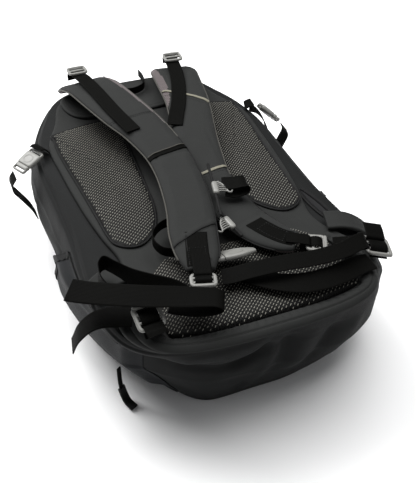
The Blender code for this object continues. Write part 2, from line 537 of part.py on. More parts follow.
sternum_clip("left", RAIL_L, (1, 0, 0), (0, 0, 1))
sternum_clip("right", RAIL_R, (1, 0, 0), (0, 0, 1))
fold = [(0.0320, -0.0850, 0.1890), (0.0350, -0.0850, 0.1910), (0.0400, -0.0860, 0.1930), (0.0450, -0.0870, 0.1920),
        (0.0465, -0.0885, 0.1885), (0.0440, -0.0895, 0.1850), (0.0380, -0.0900, 0.1835), (0.0320, -0.0900, 0.1825)]
web("sternum_webbing", flat(fold, (0.1, 1, 0.1), 1.5), WEB_NARROW, 20)
loop = [(-0.0450, -0.0990, 0.1690), (-0.0620, -0.1010, 0.1690), (-0.0760, -0.1130, 0.1695),
        (-0.0810, -0.1290, 0.1705), (-0.0760, -0.1450, 0.1712), (-0.0620, -0.1530, 0.1712)]
web("sternum_tail", flat(loop, (0, 0, 1)), 0.0125, 16)

# %% Compression straps at the pack's sides
BUCKLE_SEATS = {
    "left": seat(placed((-0.1550, 0.1090, 0.1530)), (-0.84, -0.45, -0.30), (-0.30, -0.15, 1)),
    "right": seat(placed((0.1625, 0.1200, 0.1510)), (0.62, -0.60, -0.50), (0.75, 0.25, 0.60)),
}
COMPRESSION_UPPER = {
    "left": [(-0.1440, 0.1180, 0.1475), (-0.1480, 0.1150, 0.1545), (-0.1535, 0.1110, 0.1585),
             (-0.1570, 0.1085, 0.1587)],
    "right": [(0.1450, 0.1290, 0.1477), (0.1490, 0.1275, 0.1512), (0.1560, 0.1268, 0.1530)],
}
COMPRESSION_LOWER = {
    "left": [(-0.1905, 0.0890, 0.1390), (-0.1960, 0.0890, 0.1300), (-0.1955, 0.0910, 0.1180), (-0.1890, 0.0940, 0.1050),
             (-0.1815, 0.0980, 0.0900), (-0.1745, 0.1000, 0.0760), (-0.1690, 0.1010, 0.0600)],
    "right": [(0.1905, 0.0920, 0.1260), (0.1940, 0.0920, 0.1160), (0.1915, 0.0940, 0.1040), (0.1865, 0.0970, 0.0880),
              (0.1800, 0.0990, 0.0720), (0.1745, 0.1000, 0.0560)],
}
for side in ("left", "right"):
    web(f"compression_upper_{side}", flat(COMPRESSION_UPPER[side], (-0.50 if side == "left" else 0.2, 1, 0)),
        WEB_NARROW, 6)
    side_release(f"compression_{side}", BUCKLE_SEATS[side], 0.024, 0.025)
    web(f"compression_lower_{side}", flat(COMPRESSION_LOWER[side], (0, 1, 0.05)), WEB_NARROW, 12)

# %% Haul loop, hanging lash strap, zip pull of the wing pocket
haul = [(-0.0260, 0.2435, 0.1620), (-0.0265, 0.2260, 0.1625), (-0.0225, 0.2080, 0.1625), (-0.0120, 0.1990, 0.1625),
        (0, 0.1965, 0.1625), (0.0120, 0.1990, 0.1625), (0.0225, 0.2080, 0.1625), (0.0265, 0.2260, 0.1625),
        (0.0260, 0.2435, 0.1620)]
web("haul_loop", flat(haul, (0, 0, 1)), 0.011, 26, origin=YOKE_AXIS)
lash = [(-0.1458, -0.1900, 0.0580), (-0.1455, -0.1895, 0.0420), (-0.1445, -0.1895, 0.0260),
        (-0.1420, -0.1905, 0.0110), (-0.1395, -0.1970, 0.0040), (-0.1350, -0.2070, 0.0030)]
web("lash_strap", flat(lash, (0.85, 0.50, 0)), 0.0100, 14)
bm = body_block((0.1718, -0.1610, 0.1195), (0.1748, -0.1520, 0.1265))
add("wing_zip_slider", bm, "zip_metal", placed((0.1733, -0.1565, 0.1230)))
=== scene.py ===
# %% [markdown]
# # A ski backpack lying on its front
# This lesson builds a soft day pack in small steps: first the camera and the light, then the finishes,
# then the bag, the pads, the straps, the webbing and the buckles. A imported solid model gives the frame,
# and every piece made here rides on one of its bodies, so that straps, locks and zips can move.

# %% The frame
import math

import bmesh
import bpy
import numpy as np
from mathutils import Matrix, Vector, noise
from mathutils.bvhtree import BVHTree
from mathutils.kdtree import KDTree


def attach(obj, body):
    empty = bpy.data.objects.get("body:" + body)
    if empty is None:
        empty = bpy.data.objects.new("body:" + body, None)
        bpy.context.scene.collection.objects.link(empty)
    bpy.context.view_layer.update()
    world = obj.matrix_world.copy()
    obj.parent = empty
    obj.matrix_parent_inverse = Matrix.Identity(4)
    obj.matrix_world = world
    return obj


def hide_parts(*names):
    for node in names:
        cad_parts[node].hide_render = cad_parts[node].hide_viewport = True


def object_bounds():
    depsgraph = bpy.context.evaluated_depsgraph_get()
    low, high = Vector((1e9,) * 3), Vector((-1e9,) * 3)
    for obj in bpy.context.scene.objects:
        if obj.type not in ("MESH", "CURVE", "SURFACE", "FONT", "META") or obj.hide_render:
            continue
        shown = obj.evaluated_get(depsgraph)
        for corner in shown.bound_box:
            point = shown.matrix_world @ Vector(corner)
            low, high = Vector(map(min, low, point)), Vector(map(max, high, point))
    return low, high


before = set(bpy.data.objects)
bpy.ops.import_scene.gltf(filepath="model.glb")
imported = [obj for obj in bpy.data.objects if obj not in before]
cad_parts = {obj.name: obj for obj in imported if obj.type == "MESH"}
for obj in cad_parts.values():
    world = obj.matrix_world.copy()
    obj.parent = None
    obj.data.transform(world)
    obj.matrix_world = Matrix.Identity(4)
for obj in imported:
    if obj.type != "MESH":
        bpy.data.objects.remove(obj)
solid_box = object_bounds()
MM = 0.001
print("solid model", [round(b - a, 3) for a, b in zip(*solid_box)])

# %% [markdown]
# The camera stands in front of the pack's lower right side and looks down at about forty degrees. A long
# lens keeps the shoulder straps and the lumbar pad at nearly the same scale.

# %% Camera
camera = bpy.data.objects.new("camera", bpy.data.cameras.new("camera"))
bpy.context.scene.collection.objects.link(camera)
camera.data.lens = 58.46
camera.data.sensor_width = 36
camera.data.clip_start = 0.05
ahead = Vector((0.30378151, 0.68795968, -0.65911173)).normalized()
level = ahead.cross(Vector((0, 0, 1))).normalized()
above = level.cross(ahead)
roll = math.radians(2.143)
across = level * math.cos(roll) + above * math.sin(roll)
up = above * math.cos(roll) - level * math.sin(roll)
camera.matrix_world = Matrix.Translation((-0.28490551, -0.73503951, 0.73437028)) @ Matrix(
    (across, up, -ahead)).transposed().to_4x4()
bpy.context.scene.camera = camera
print("camera looks", [round(c, 2) for c in ahead])

# %% [markdown]
# A pale floor and large soft lights suit dark cloth: small lights would make hard sparks on the webbing,
# and a dark room would lose the folds. A weak world fills the shadows, the key lamp gives each fold its
# light side, the top lamp brings out the weave, and a faint fill keeps the near end from going black. The
# Standard view is chosen because it leaves a pale floor pale.

# %% Floor and light
world = bpy.data.worlds.new("studio")
bpy.context.scene.world = world
world.use_nodes = True
world.node_tree.nodes["Background"].inputs["Color"].default_value = (0.97, 0.98, 1.0, 1)
world.node_tree.nodes["Background"].inputs["Strength"].default_value = 0.22


def lamp(name, place, size, power):
    """A square lamp that points at the middle of the pack."""
    light = bpy.data.lights.new(name, "AREA")
    light.shape = "SQUARE"
    light.size = size
    light.energy = power
    obj = bpy.data.objects.new(name, light)
    obj.location = place
    obj.rotation_euler = (Vector((0, 0, 0.1)) - Vector(place)).to_track_quat("-Z", "Y").to_euler()
    bpy.context.scene.collection.objects.link(obj)


def from_bmesh(name, bm):
    """Object in the scene whose mesh is the bmesh."""
    mesh = bpy.data.meshes.new(name)
    bm.to_mesh(mesh)
    bm.free()
    obj = bpy.data.objects.new(name, mesh)
    bpy.context.scene.collection.objects.link(obj)
    return obj


lamp("key", (-0.7, 1.0, 1.5), 1.2, 46)
lamp("top", (0.3, 0.1, 1.9), 1.6, 42)
lamp("fill", (1.1, -1.3, 1.1), 1.2, 0.8)
bpy.context.scene.view_settings.view_transform = "Standard"

bm = bmesh.new()
bmesh.ops.create_grid(bm, x_segments=1, y_segments=1, size=3)
floor = from_bmesh("floor", bm)
UNDER_PACK = 0.0004      # the floor lies a hair lower, so that the two never share a plane
floor.location = (0, 0, solid_box[0][2] - UNDER_PACK)
paper = bpy.data.materials.new("floor paper")
paper.use_nodes = True
paper.node_tree.nodes["Principled BSDF"].inputs["Base Color"].default_value = (0.94, 0.94, 0.94, 1)
paper.node_tree.nodes["Principled BSDF"].inputs["Roughness"].default_value = 0.9
floor.data.materials.append(paper)
print("lamps and a floor at z", round(floor.location.z, 4))

# %% [markdown]
# ## Finishes
# Cloth looks right when its threads have the right size. Each effect is a node group that is built once:
# a plain weave, the ribs of webbing, faint dust and fading, and the orange-peel skin of moulded plastic.
# The groups read the pieces' own UV maps, which are unrolled in metres, so a thread is a thread everywhere.

# %% Tools for node trees
def wire(tree, kind, links=(), **settings):
    """Adds a node; links are (input, source) pairs, where a source is a socket or a plain value."""
    node = tree.nodes.new(kind)
    for key, value in settings.items():
        setattr(node, key, value)
    for key, source in links:
        if hasattr(source, "is_output"):
            tree.links.new(source, node.inputs[key])
        else:
            node.inputs[key].default_value = source
    return node


def sums(tree, operation, *sources):
    """A Math node."""
    return wire(tree, "ShaderNodeMath", list(enumerate(sources)), operation=operation).outputs[0]


def effect(name, inputs, outputs):
    """A shader node group with named float inputs and outputs; returns (tree, inputs, outputs)."""
    tree = bpy.data.node_groups.new(name, "ShaderNodeTree")
    for label, value in inputs:
        socket = tree.interface.new_socket(label, in_out="INPUT", socket_type="NodeSocketFloat")
        socket.default_value = value
    for label in outputs:
        tree.interface.new_socket(label, in_out="OUTPUT", socket_type="NodeSocketFloat")
    return tree, tree.nodes.new("NodeGroupInput").outputs, tree.nodes.new("NodeGroupOutput").inputs


# %% Plain weave
weave, given, result = effect("plain weave", [("Threads per mm", 2.2), ("Slub", 0.3)], ["Height", "Tone"])
place = wire(weave, "ShaderNodeSeparateXYZ", [(0, wire(weave, "ShaderNodeUVMap").outputs[0])])
turns = sums(weave, "MULTIPLY", given["Threads per mm"], math.pi * 1000)
warp = sums(weave, "SINE", sums(weave, "MULTIPLY", place.outputs[0], turns))
weft = sums(weave, "SINE", sums(weave, "MULTIPLY", place.outputs[1], turns))
over = sums(weave, "MULTIPLY", warp, weft)
weave.links.new(sums(weave, "MULTIPLY_ADD", over, 0.5, 0.5), result["Height"])
streak = wire(weave, "ShaderNodeMapping", [(0, wire(weave, "ShaderNodeUVMap").outputs[0]), ("Scale", (900, 60, 1))])
slub = wire(weave, "ShaderNodeTexNoise", [("Vector", streak.outputs[0]), ("Scale", 1.0), ("Detail", 2.0)])
tone = sums(weave, "MULTIPLY", sums(weave, "SUBTRACT", slub.outputs[0], 0.5), given["Slub"])
weave.links.new(sums(weave, "ADD", tone, 1.0), result["Tone"])

# %% Ribs of webbing: u runs along the band and v across it
ribs, given, result = effect("webbing ribs", [("Ribs per mm", 0.7), ("Picks per mm", 0.9)], ["Height", "Tone"])
place = wire(ribs, "ShaderNodeSeparateXYZ", [(0, wire(ribs, "ShaderNodeUVMap").outputs[0])])
rib = sums(ribs, "MULTIPLY", place.outputs[1], sums(ribs, "MULTIPLY", given["Ribs per mm"], 2000 * math.pi))
pick = sums(ribs, "MULTIPLY", place.outputs[0], sums(ribs, "MULTIPLY", given["Picks per mm"], 2000 * math.pi))
ridge = sums(ribs, "ABSOLUTE", sums(ribs, "SINE", sums(ribs, "MULTIPLY", rib, 0.5)))
shift = sums(ribs, "MULTIPLY", sums(ribs, "SIGN", sums(ribs, "SINE", rib)), math.pi / 2)
beat = sums(ribs, "MULTIPLY_ADD", sums(ribs, "SINE", sums(ribs, "ADD", pick, shift)), 0.25, 0.5)
height = sums(ribs, "MULTIPLY", ridge, sums(ribs, "ADD", beat, 0.25))
ribs.links.new(height, result["Height"])
# the tone follows the height, so the grooves between ribs and picks are painted darker: painted shade in the hollows of
# the webbing
ribs.links.new(sums(ribs, "MULTIPLY_ADD", height, 0.5, 0.75), result["Tone"])

# %% Dust and fading, on Object coordinates so that neighbours don't repeat
dust, given, result = effect("dust and fading", [("Fading", 0.15), ("Dust", 0.05)], ["Tone", "Dust mask"])
spot = wire(dust, "ShaderNodeTexCoord").outputs["Object"]
broad = wire(dust, "ShaderNodeTexNoise", [("Vector", spot), ("Scale", 14.0), ("Detail", 3.0)])
fine = wire(dust, "ShaderNodeTexNoise", [("Vector", spot), ("Scale", 320.0), ("Detail", 4.0), ("Roughness", 0.7)])
fade = sums(dust, "MULTIPLY", sums(dust, "SUBTRACT", broad.outputs[0], 0.5), given["Fading"])
dust.links.new(sums(dust, "ADD", fade, 1.0), result["Tone"])
speck = wire(dust, "ShaderNodeMapRange", [("Value", fine.outputs[0]), ("From Min", 0.60), ("From Max", 0.74)])
dust.links.new(sums(dust, "MULTIPLY", speck.outputs[0], given["Dust"]), result["Dust mask"])

# %% Skin of moulded plastic
skin, given, result = effect("moulded skin", [("Grain", 1.0)], ["Height", "Tone", "Roughness"])
spot = wire(skin, "ShaderNodeTexCoord").outputs["Object"]
grain = wire(skin, "ShaderNodeTexNoise", [("Vector", spot), ("Scale", 1400.0), ("Detail", 2.0)])
scuff = wire(skin, "ShaderNodeTexNoise", [("Vector", spot), ("Scale", 170.0), ("Detail", 5.0), ("Roughness", 0.65)])
skin.links.new(sums(skin, "MULTIPLY", grain.outputs[0], given["Grain"]), result["Height"])
skin.links.new(sums(skin, "MULTIPLY_ADD", scuff.outputs[0], 0.22, 0.88), result["Tone"])
skin.links.new(sums(skin, "MULTIPLY_ADD", scuff.outputs[0], 0.30, 0.28), result["Roughness"])


# %% [markdown]
# Each finish is one material with a Principled shader. A constant such as sheen sits on the shader's own
# socket, and only what changes over the surface is wired.

# %% The materials
DUST_COLOUR = (0.30, 0.29, 0.27, 1)


def finish(name, colour, roughness, pattern, amounts, bump, dusty=(0.15, 0.010), sheen=0.0, depth=0.0003, light=0.20):
    """A cloth or plastic material: pattern is one of the groups above, amounts its values.

    bump and depth are the strength and height of the relief, dusty is (fading, dust), light the highlight.
    """
    material = bpy.data.materials.new(name)
    material.use_nodes = True
    tree = material.node_tree
    shader = tree.nodes["Principled BSDF"]
    shader.inputs["Roughness"].default_value = roughness
    shader.inputs["Sheen Weight"].default_value = sheen
    shader.inputs["Sheen Roughness"].default_value = 0.5
    shader.inputs["Specular IOR Level"].default_value = light
    thread = wire(tree, "ShaderNodeGroup", node_tree=pattern)
    for key, value in amounts.items():
        thread.inputs[key].default_value = value
    age = wire(tree, "ShaderNodeGroup", node_tree=dust)
    age.inputs["Fading"].default_value = dusty[0]
    age.inputs["Dust"].default_value = dusty[1]
    # for webbing and binding tape the thread tone holds painted shade in the rib grooves; for the other finishes it is
    # slub or scuff
    tone = sums(tree, "MULTIPLY", thread.outputs["Tone"], age.outputs["Tone"])
    # a Mix node of colours has its factor at input 0, its colours at 6 and 7 and its result at output 2
    toned = wire(tree, "ShaderNodeMix", [(0, 1.0), (6, (*colour, 1)), (7, tone)], data_type="RGBA",
                 blend_type="MULTIPLY")
    dusted = wire(tree, "ShaderNodeMix", [(0, age.outputs["Dust mask"]), (6, toned.outputs[2]), (7, DUST_COLOUR)],
                  data_type="RGBA")
    tree.links.new(dusted.outputs[2], shader.inputs["Base Color"])
    if "Roughness" in thread.outputs:
        tree.links.new(thread.outputs["Roughness"], shader.inputs["Roughness"])
    relief = wire(tree, "ShaderNodeBump", [("Height", thread.outputs["Height"]), ("Strength", bump),
                                           ("Distance", depth)])
    tree.links.new(relief.outputs[0], shader.inputs["Normal"])
    return material


CHARCOAL = finish("charcoal pack cloth", (0.0056, 0.0060, 0.0060), 0.74, weave, {"Threads per mm": 2.2}, 0.35,
                  sheen=0.004, light=0.14)
PANEL_CLOTH = finish("charcoal strap cloth", (0.0140, 0.0146, 0.0140), 0.76, weave, {"Threads per mm": 1.8}, 0.40,
                     sheen=0.008, light=0.16)
LINING = finish("dark lining", (0.005, 0.005, 0.0055), 0.6, weave, {"Threads per mm": 3.0}, 0.2)
STRETCH = finish("blue black stretch cloth", (0.0022, 0.0030, 0.0042), 0.70, weave,
                 {"Threads per mm": 1.4, "Slub": 0.5}, 0.5, sheen=0.02, light=0.2)
WEBBING = finish("black webbing", (0.0016, 0.0016, 0.0013), 0.62, ribs, {}, 0.6, dusty=(0.25, 0.002), light=0.035)
BINDING = finish("black binding tape", (0.0028, 0.0028, 0.0028), 0.7, ribs, {"Ribs per mm": 1.4}, 0.5)
UNDER_MESH = finish("mauve grey strap lining", (0.070, 0.057, 0.058), 0.85, weave, {"Threads per mm": 0.45}, 0.9,
                    sheen=0.15, depth=0.0006)
PAD_BASE = finish("black mesh ground", (0.0030, 0.0030, 0.0027), 0.75, weave, {"Threads per mm": 0.65}, 0.8,
                  depth=0.0006)
THREAD = finish("pale mesh thread", (0.185, 0.180, 0.155), 0.6, weave, {"Threads per mm": 6.0}, 0.3, dusty=(0.5, 0.0))
PIPING = finish("grey piping", (0.050, 0.048, 0.042), 0.6, weave, {"Threads per mm": 3.0}, 0.5)
CREAM = finish("cream reflective tape", (0.16, 0.152, 0.118), 0.45, weave, {"Threads per mm": 3.0}, 0.3)
SEWING = finish("grey sewing thread", (0.013, 0.0135, 0.013), 0.6, weave, {"Threads per mm": 6.0}, 0.2)
BLACK_SEWING = finish("black sewing thread", (0.003, 0.003, 0.003), 0.55, weave, {"Threads per mm": 6.0}, 0.2)
ACETAL = finish("light grey acetal", (0.170, 0.169, 0.158), 0.42, skin, {}, 0.12, dusty=(0.10, 0.04), depth=0.0001,
                light=0.5)
ZINC = finish("painted zinc", (0.130, 0.127, 0.115), 0.38, skin, {}, 0.10, depth=0.0001, light=0.5)
BLACK_PLASTIC = finish("black plastic", (0.005, 0.005, 0.0055), 0.45, skin, {}, 0.12, depth=0.0001)
MILL = finish("mill aluminium", (0.72, 0.73, 0.75), 0.35, skin, {}, 0.1, depth=0.0001)
MILL.node_tree.nodes["Principled BSDF"].inputs["Metallic"].default_value = 1.0
print(len(bpy.data.materials), "materials")


# %% [markdown]
# ## Making pieces
# Nearly every piece is a grid: rows of points that become quads. The UV map is written in metres at the
# same time. A closed ring repeats its first column, which is merged afterwards but keeps its own UV.

# %% Curves and grids
CURVE_STEPS = 14      # points that a smooth curve has between two of its given ones


def smooth(points, count, closed=False):
    """Catmull-Rom curve through the points, resampled evenly; columns past the third are carried along."""
    p = np.array(points, float)
    p = np.vstack([p[-1:], p, p[:2]]) if closed else np.vstack([2 * p[:1] - p[1:2], p, 2 * p[-1:] - p[-2:-1]])
    fine = []
    for a, b, c, d in zip(p, p[1:], p[2:], p[3:]):
        for t in np.linspace(0, 1, CURVE_STEPS, endpoint=False):
            fine.append(0.5 * (2 * b + (c - a) * t + (2 * a - 5 * b + 4 * c - d) * t**2
                               + (3 * b - a - 3 * c + d) * t**3))
    fine.append(p[-2])
    fine = np.array(fine)
    reach = np.concatenate([[0], np.cumsum(np.linalg.norm(np.diff(fine[:, :3], axis=0), axis=1))])      # by place only
    at = np.linspace(0, reach[-1], count + 1)[:-1] if closed else np.linspace(0, reach[-1], count)
    return np.column_stack([np.interp(at, reach, fine[:, k]) for k in range(fine.shape[1])])


def unit(v):
    """The vectors, each made one long."""
    return v / np.maximum(np.linalg.norm(v, axis=-1, keepdims=True), 1e-12)


def lengths(points):
    """How far along the line each of its points lies."""
    return np.concatenate([[0], np.cumsum(np.linalg.norm(np.diff(points, axis=0), axis=1))])


def tube_uv(line, girth, columns):
    """UV of a tube in metres: along the line, and from 0 to girth round it."""
    along, around = lengths(line), np.linspace(0, girth, columns)
    return np.dstack([np.repeat(along[:, None], columns, 1), np.repeat(around[None], len(along), 0)])


def finish_piece(name, bm, body, slot, *materials, nodes=(), smooth_shade=True, angle=None):
    """Turns a bmesh into a piece that rides on a body and may stand for solid nodes."""
    obj = from_bmesh(name, bm)
    mesh = obj.data
    for material in materials:
        mesh.materials.append(material)
    if smooth_shade:
        mesh.shade_smooth()
        if angle:
            mesh.set_sharp_from_angle(angle=math.radians(angle))
    if body:
        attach(obj, body)
    if nodes:
        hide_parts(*nodes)
    return obj


def grid_bmesh(rows, uv, caps=(False, False), paint=None, bm=None):
    """Quads between rows of points (rows x columns x 3) with uv (rows x columns x 2)."""
    bm = bm or bmesh.new()
    layer = bm.loops.layers.uv.verify()
    high, wide = rows.shape[:2]
    made = [[bm.verts.new(rows[i, j]) for j in range(wide)] for i in range(high)]
    for i in range(high - 1):
        for j in range(wide - 1):
            corners = ((i, j), (i, j + 1), (i + 1, j + 1), (i + 1, j))
            face = bm.faces.new([made[a][b] for a, b in corners])
            for loop, (a, b) in zip(face.loops, corners):
                loop[layer].uv = uv[a, b]
            if paint is not None:
                face.material_index = int(paint[i, j])
    for end, wanted in ((0, caps[0]), (high - 1, caps[1])):
        if wanted:
            ring = made[end][:-1]
            face = bm.faces.new(ring if end else ring[::-1])
            if paint is not None:
                face.material_index = int(paint[min(end, high - 2), 0])
    bmesh.ops.remove_doubles(bm, verts=bm.verts, dist=1e-6)
    bmesh.ops.recalc_face_normals(bm, faces=bm.faces)
    return bm


def sweep_frames(route):
    """Points, tangents, width directions and normals of a route of (x, y, z, wx, wy, wz) stations."""
    points = route[:, :3]
    t = unit(np.gradient(points, axis=0))
    w = route[:, 3:6] - t * np.sum(route[:, 3:6] * t, axis=1, keepdims=True)
    w = unit(w)
    return points, t, w, np.cross(w, t)


def band(name, route, width, body, node=None, count=90, thick=0.0013, material=None, slot="webbing", curl=0.0):
    """Webbing swept along a route: rounded selvedges, a hair of crown, UV along and across in metres."""
    route = smooth(route, count)
    points, t, w, n = sweep_frames(route)
    s = lengths(points)
    widths = np.atleast_1d(width)
    wide = np.interp(np.linspace(0, 1, count), np.linspace(0, 1, len(widths)), widths)
    a, b = 0.5, thick / 2      # half the width, as a share of it, and half the thickness
    section = [(-a, 0), (-a + 0.02, b * 0.85), (-a + 0.07, b * 1.15), (-a + 0.14, b * 0.9), (-0.2, b), (0.2, b),
               (a - 0.14, b * 0.9), (a - 0.07, b * 1.15), (a - 0.02, b * 0.85), (a, 0)]
    section += [(x, -y) for x, y in section[-2:0:-1]]
    section.append(section[0])
    section = np.array(section)
    around = np.abs(section[:, 0])
    rows = (points[:, None] + w[:, None] * (section[None, :, :1] * wide[:, None, None])
            + n[:, None] * (section[None, :, 1:] + curl * around[None, :, None]**2))
    uv = np.dstack([np.repeat(s[:, None], len(section), 1), section[None, :, 0] * wide[:, None]])
    bm = grid_bmesh(rows, uv, (True, True))
    return finish_piece(name, bm, body, slot, material or WEBBING, nodes=[node] if node else [], angle=50)


# %% [markdown]
# Stitches, zip teeth and the pale threads of spacer mesh all repeat along a path, so Geometry Nodes lay
# them: the path is resampled at a pitch, and one small bead is placed at each point, turned along the
# path and stood up along the surface.

# %% A node tree that lays beads along paths
def bead_tree(name, size, pitch, block=False):
    """Geometry Nodes: edges in, one bead per pitch out, realised and painted."""
    tree = bpy.data.node_groups.new(name, "GeometryNodeTree")
    face = tree.interface
    face.new_socket("Path", in_out="INPUT", socket_type="NodeSocketGeometry")
    for label, value in (("Length", size[0]), ("Width", size[1]), ("Height", size[2]), ("Pitch", pitch)):
        face.new_socket(label, in_out="INPUT", socket_type="NodeSocketFloat").default_value = value
    face.new_socket("Finish", in_out="INPUT", socket_type="NodeSocketMaterial")
    face.new_socket("Beads", in_out="OUTPUT", socket_type="NodeSocketGeometry")
    given = tree.nodes.new("NodeGroupInput").outputs
    curve = wire(tree, "GeometryNodeMeshToCurve", [(0, given["Path"])])
    points = wire(tree, "GeometryNodeResampleCurve", [("Curve", curve.outputs[0]), ("Length", given["Pitch"])],
                  mode="LENGTH")
    if block:
        bead = wire(tree, "GeometryNodeMeshCube", [("Size", (1, 1, 1))])
    else:
        bead = wire(tree, "GeometryNodeMeshUVSphere", [("Segments", 6), ("Rings", 5), ("Radius", 0.5)])
    along = wire(tree, "FunctionNodeAlignRotationToVector", [
        ("Vector", wire(tree, "GeometryNodeInputTangent").outputs[0])], axis="X")
    stand = wire(tree, "GeometryNodeInputNamedAttribute", [("Name", "up")], data_type="FLOAT_VECTOR")
    turned = wire(tree, "FunctionNodeAlignRotationToVector", [
        ("Rotation", along.outputs[0]), ("Vector", stand.outputs["Attribute"])], axis="Z", pivot_axis="X")
    size_vector = wire(tree, "ShaderNodeCombineXYZ", [
        (0, given["Length"]), (1, given["Width"]), (2, given["Height"])])
    laid = wire(tree, "GeometryNodeInstanceOnPoints", [
        ("Points", points.outputs[0]), ("Instance", bead.outputs[0]), ("Rotation", turned.outputs[0]),
        ("Scale", size_vector.outputs[0])])
    real = wire(tree, "GeometryNodeRealizeInstances", [(0, laid.outputs[0])])
    painted = wire(tree, "GeometryNodeSetMaterial", [(0, real.outputs[0]), ("Material", given["Finish"])])
    tree.links.new(painted.outputs[0], tree.nodes.new("NodeGroupOutput").inputs[0])
    return tree


STITCHES = bead_tree("stitches along a seam", (2.2 * MM, 0.55 * MM, 0.45 * MM), 3.0 * MM)
TEETH = bead_tree("zip teeth", (0.9 * MM, 2.6 * MM, 1.2 * MM), 1.6 * MM, block=True)
THREAD_PITCH = 0.0045
MESH_THREADS = bead_tree("pale threads of spacer mesh", (3.6 * MM, 1.05 * MM, 0.8 * MM), THREAD_PITCH)


def lay_beads(name, tree, paths, body, slot, material, **sizes):
    """paths is a list of (points, ups); the beads become one plain mesh that rides on the body.

    sizes, such as Width, stand in for the tree's own.
    """
    mesh = bpy.data.meshes.new(name)
    points, edges, ups = [], [], []
    for path, up_vectors in paths:
        start = len(points)
        points += [tuple(p) for p in path]
        ups += [tuple(v) for v in np.broadcast_to(np.array(up_vectors, float), (len(path), 3))]
        edges += [(start + i, start + i + 1) for i in range(len(path) - 1)]
    mesh.from_pydata(points, edges, [])
    mesh.attributes.new("up", "FLOAT_VECTOR", "POINT").data.foreach_set("vector", np.array(ups).ravel())
    obj = bpy.data.objects.new(name, mesh)
    bpy.context.scene.collection.objects.link(obj)
    modifier = obj.modifiers.new("beads", "NODES")
    modifier.node_group = tree
    for item in tree.interface.items_tree:
        if item.in_out == "INPUT" and item.name in sizes:
            modifier[item.identifier] = sizes[item.name]
        if item.in_out == "INPUT" and item.name == "Finish":
            modifier[item.identifier] = material
    bpy.context.view_layer.update()
    graph = bpy.context.evaluated_depsgraph_get()
    made = bpy.data.meshes.new_from_object(obj.evaluated_get(graph))
    obj.modifiers.clear()
    obj.data = made
    made.materials.clear()
    made.materials.append(material)
    if not made.uv_layers:
        made.uv_layers.new(name="UVMap")
    made.shade_smooth()
    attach(obj, body)
    print(name, len(made.polygons), "faces")
    return obj


# %% [markdown]
# ## The bag
# The bag is a lofted shell: three plan outlines, at the floor, at the full bulge and at the back panel,
# are blended up its height, and the whole leans a little because it lies part empty. Folds are pushed
# in afterwards: each is a line in space, and the cloth near it moves in or out by a bell curve.

# %% Shape of the body
DEPTH, HALF_WIDTH, HALF_LENGTH, LEAN, TUCK = 0.145, 0.178, 0.272, 0.007, 0.022
FLOOR_LINE = [(0, -0.835), (0.30, -0.83), (0.52, -0.775), (0.66, -0.68), (0.76, -0.53), (0.80, -0.33),
              (0.81, -0.1), (0.81, 0.1), (0.81, 0.3), (0.78, 0.48), (0.70, 0.62), (0.58, 0.74),
              (0.44, 0.80), (0.26, 0.83), (0, 0.84)]
BULGE_LINE = [(0, -0.955), (0.36, -0.95), (0.66, -0.925), (0.87, -0.84), (0.97, -0.69), (1.0, -0.48),
              (0.985, -0.2), (0.985, 0.08), (0.995, 0.33), (0.96, 0.55), (0.85, 0.735), (0.72, 0.86),
              (0.58, 0.945), (0.38, 0.985), (0, 1.0)]
TOP_LINE = [(0, -0.992), (0.32, -0.992), (0.58, -0.96), (0.78, -0.87), (0.865, -0.73), (0.88, -0.5),
            (0.84, -0.2), (0.84, 0.08), (0.84, 0.32), (0.80, 0.53), (0.70, 0.70), (0.60, 0.83),
            (0.46, 0.905), (0.30, 0.93), (0, 0.935)]
LEVELS = np.array([(0, 0, 0), (0.05, 0.14, 0), (0.22, 0.52, 0), (0.5, 0.96, 0), (0.76, 1, 0.12),
                   (0.93, 1, 0.62), (1, 1, 1)])


def mirrored(half):
    """Closed outline from its right half, listed from the bottom centre to the top centre."""
    return list(half) + [(-x, y) for x, y in reversed(half) if x > 1e-6]


def ramp(value, low, high):
    """Rises softly from 0 at low to 1 at high."""
    t = np.clip((value - low) / (high - low), 0, 1)
    return t * t * (3 - 2 * t)


AROUND = 520
lines = [smooth(mirrored([(x * HALF_WIDTH, y * HALF_LENGTH) for x, y in half]), AROUND, closed=True)
         for half in (FLOOR_LINE, BULGE_LINE, TOP_LINE)]


def body_ring(z, offset=0.0):
    """The body's outline at height z, grown by offset."""
    height = np.clip(z / DEPTH, 0, 1)
    bulge = np.interp(height, LEVELS[:, 0], LEVELS[:, 1])
    top = np.interp(height, LEVELS[:, 0], LEVELS[:, 2])
    ring = (1 - top) * ((1 - bulge) * lines[0] + bulge * lines[1]) + top * lines[2]
    tangent = np.roll(ring, -1, 0) - np.roll(ring, 1, 0)
    ring = ring + unit(np.column_stack([tangent[:, 1], -tangent[:, 0]])) * offset
    x, y = ring[:, 0], ring[:, 1]
    side = ramp(-x, 0.03, 0.15) * (1 - ramp(z, 0.105, 0.140))
    corner = ramp(-x, 0.04, 0.15) * ramp(-y, 0.06, 0.21) * (1 - ramp(z, 0.100, 0.138))
    return np.column_stack([x + LEAN * side + TUCK * corner, y + 0.7 * TUCK * corner, np.full(len(x), z)])


def near_line(points, line):
    """Distance of every point to a polyline, and how far along it the nearest place is (0 to 1)."""
    line = np.array(line, float)
    reach = lengths(line)
    best = np.full(len(points), 9.0)
    where = np.zeros(len(points))
    for k in range(len(line) - 1):
        a, d = line[k], line[k + 1] - line[k]
        t = np.clip(((points - a) @ d) / (d @ d), 0, 1)
        far = np.linalg.norm(points - a - t[:, None] * d, axis=1)
        closer = far < best
        best[closer] = far[closer]
        where[closer] = (reach[k] + t[closer] * (reach[k + 1] - reach[k])) / reach[-1]
    return best, where


def folds(points, list_of_folds):
    """Sum of bell-shaped folds: (depth, width, line). Negative depths are creases."""
    total = np.zeros(len(points))
    for depth, width, line in list_of_folds:
        far, where = near_line(points, smooth(line, 24))
        total += depth * np.exp(-(far / width)**2) * np.clip(np.sin(np.pi * np.clip(where, 0.04, 0.96)) * 1.6, 0, 1)
    return total


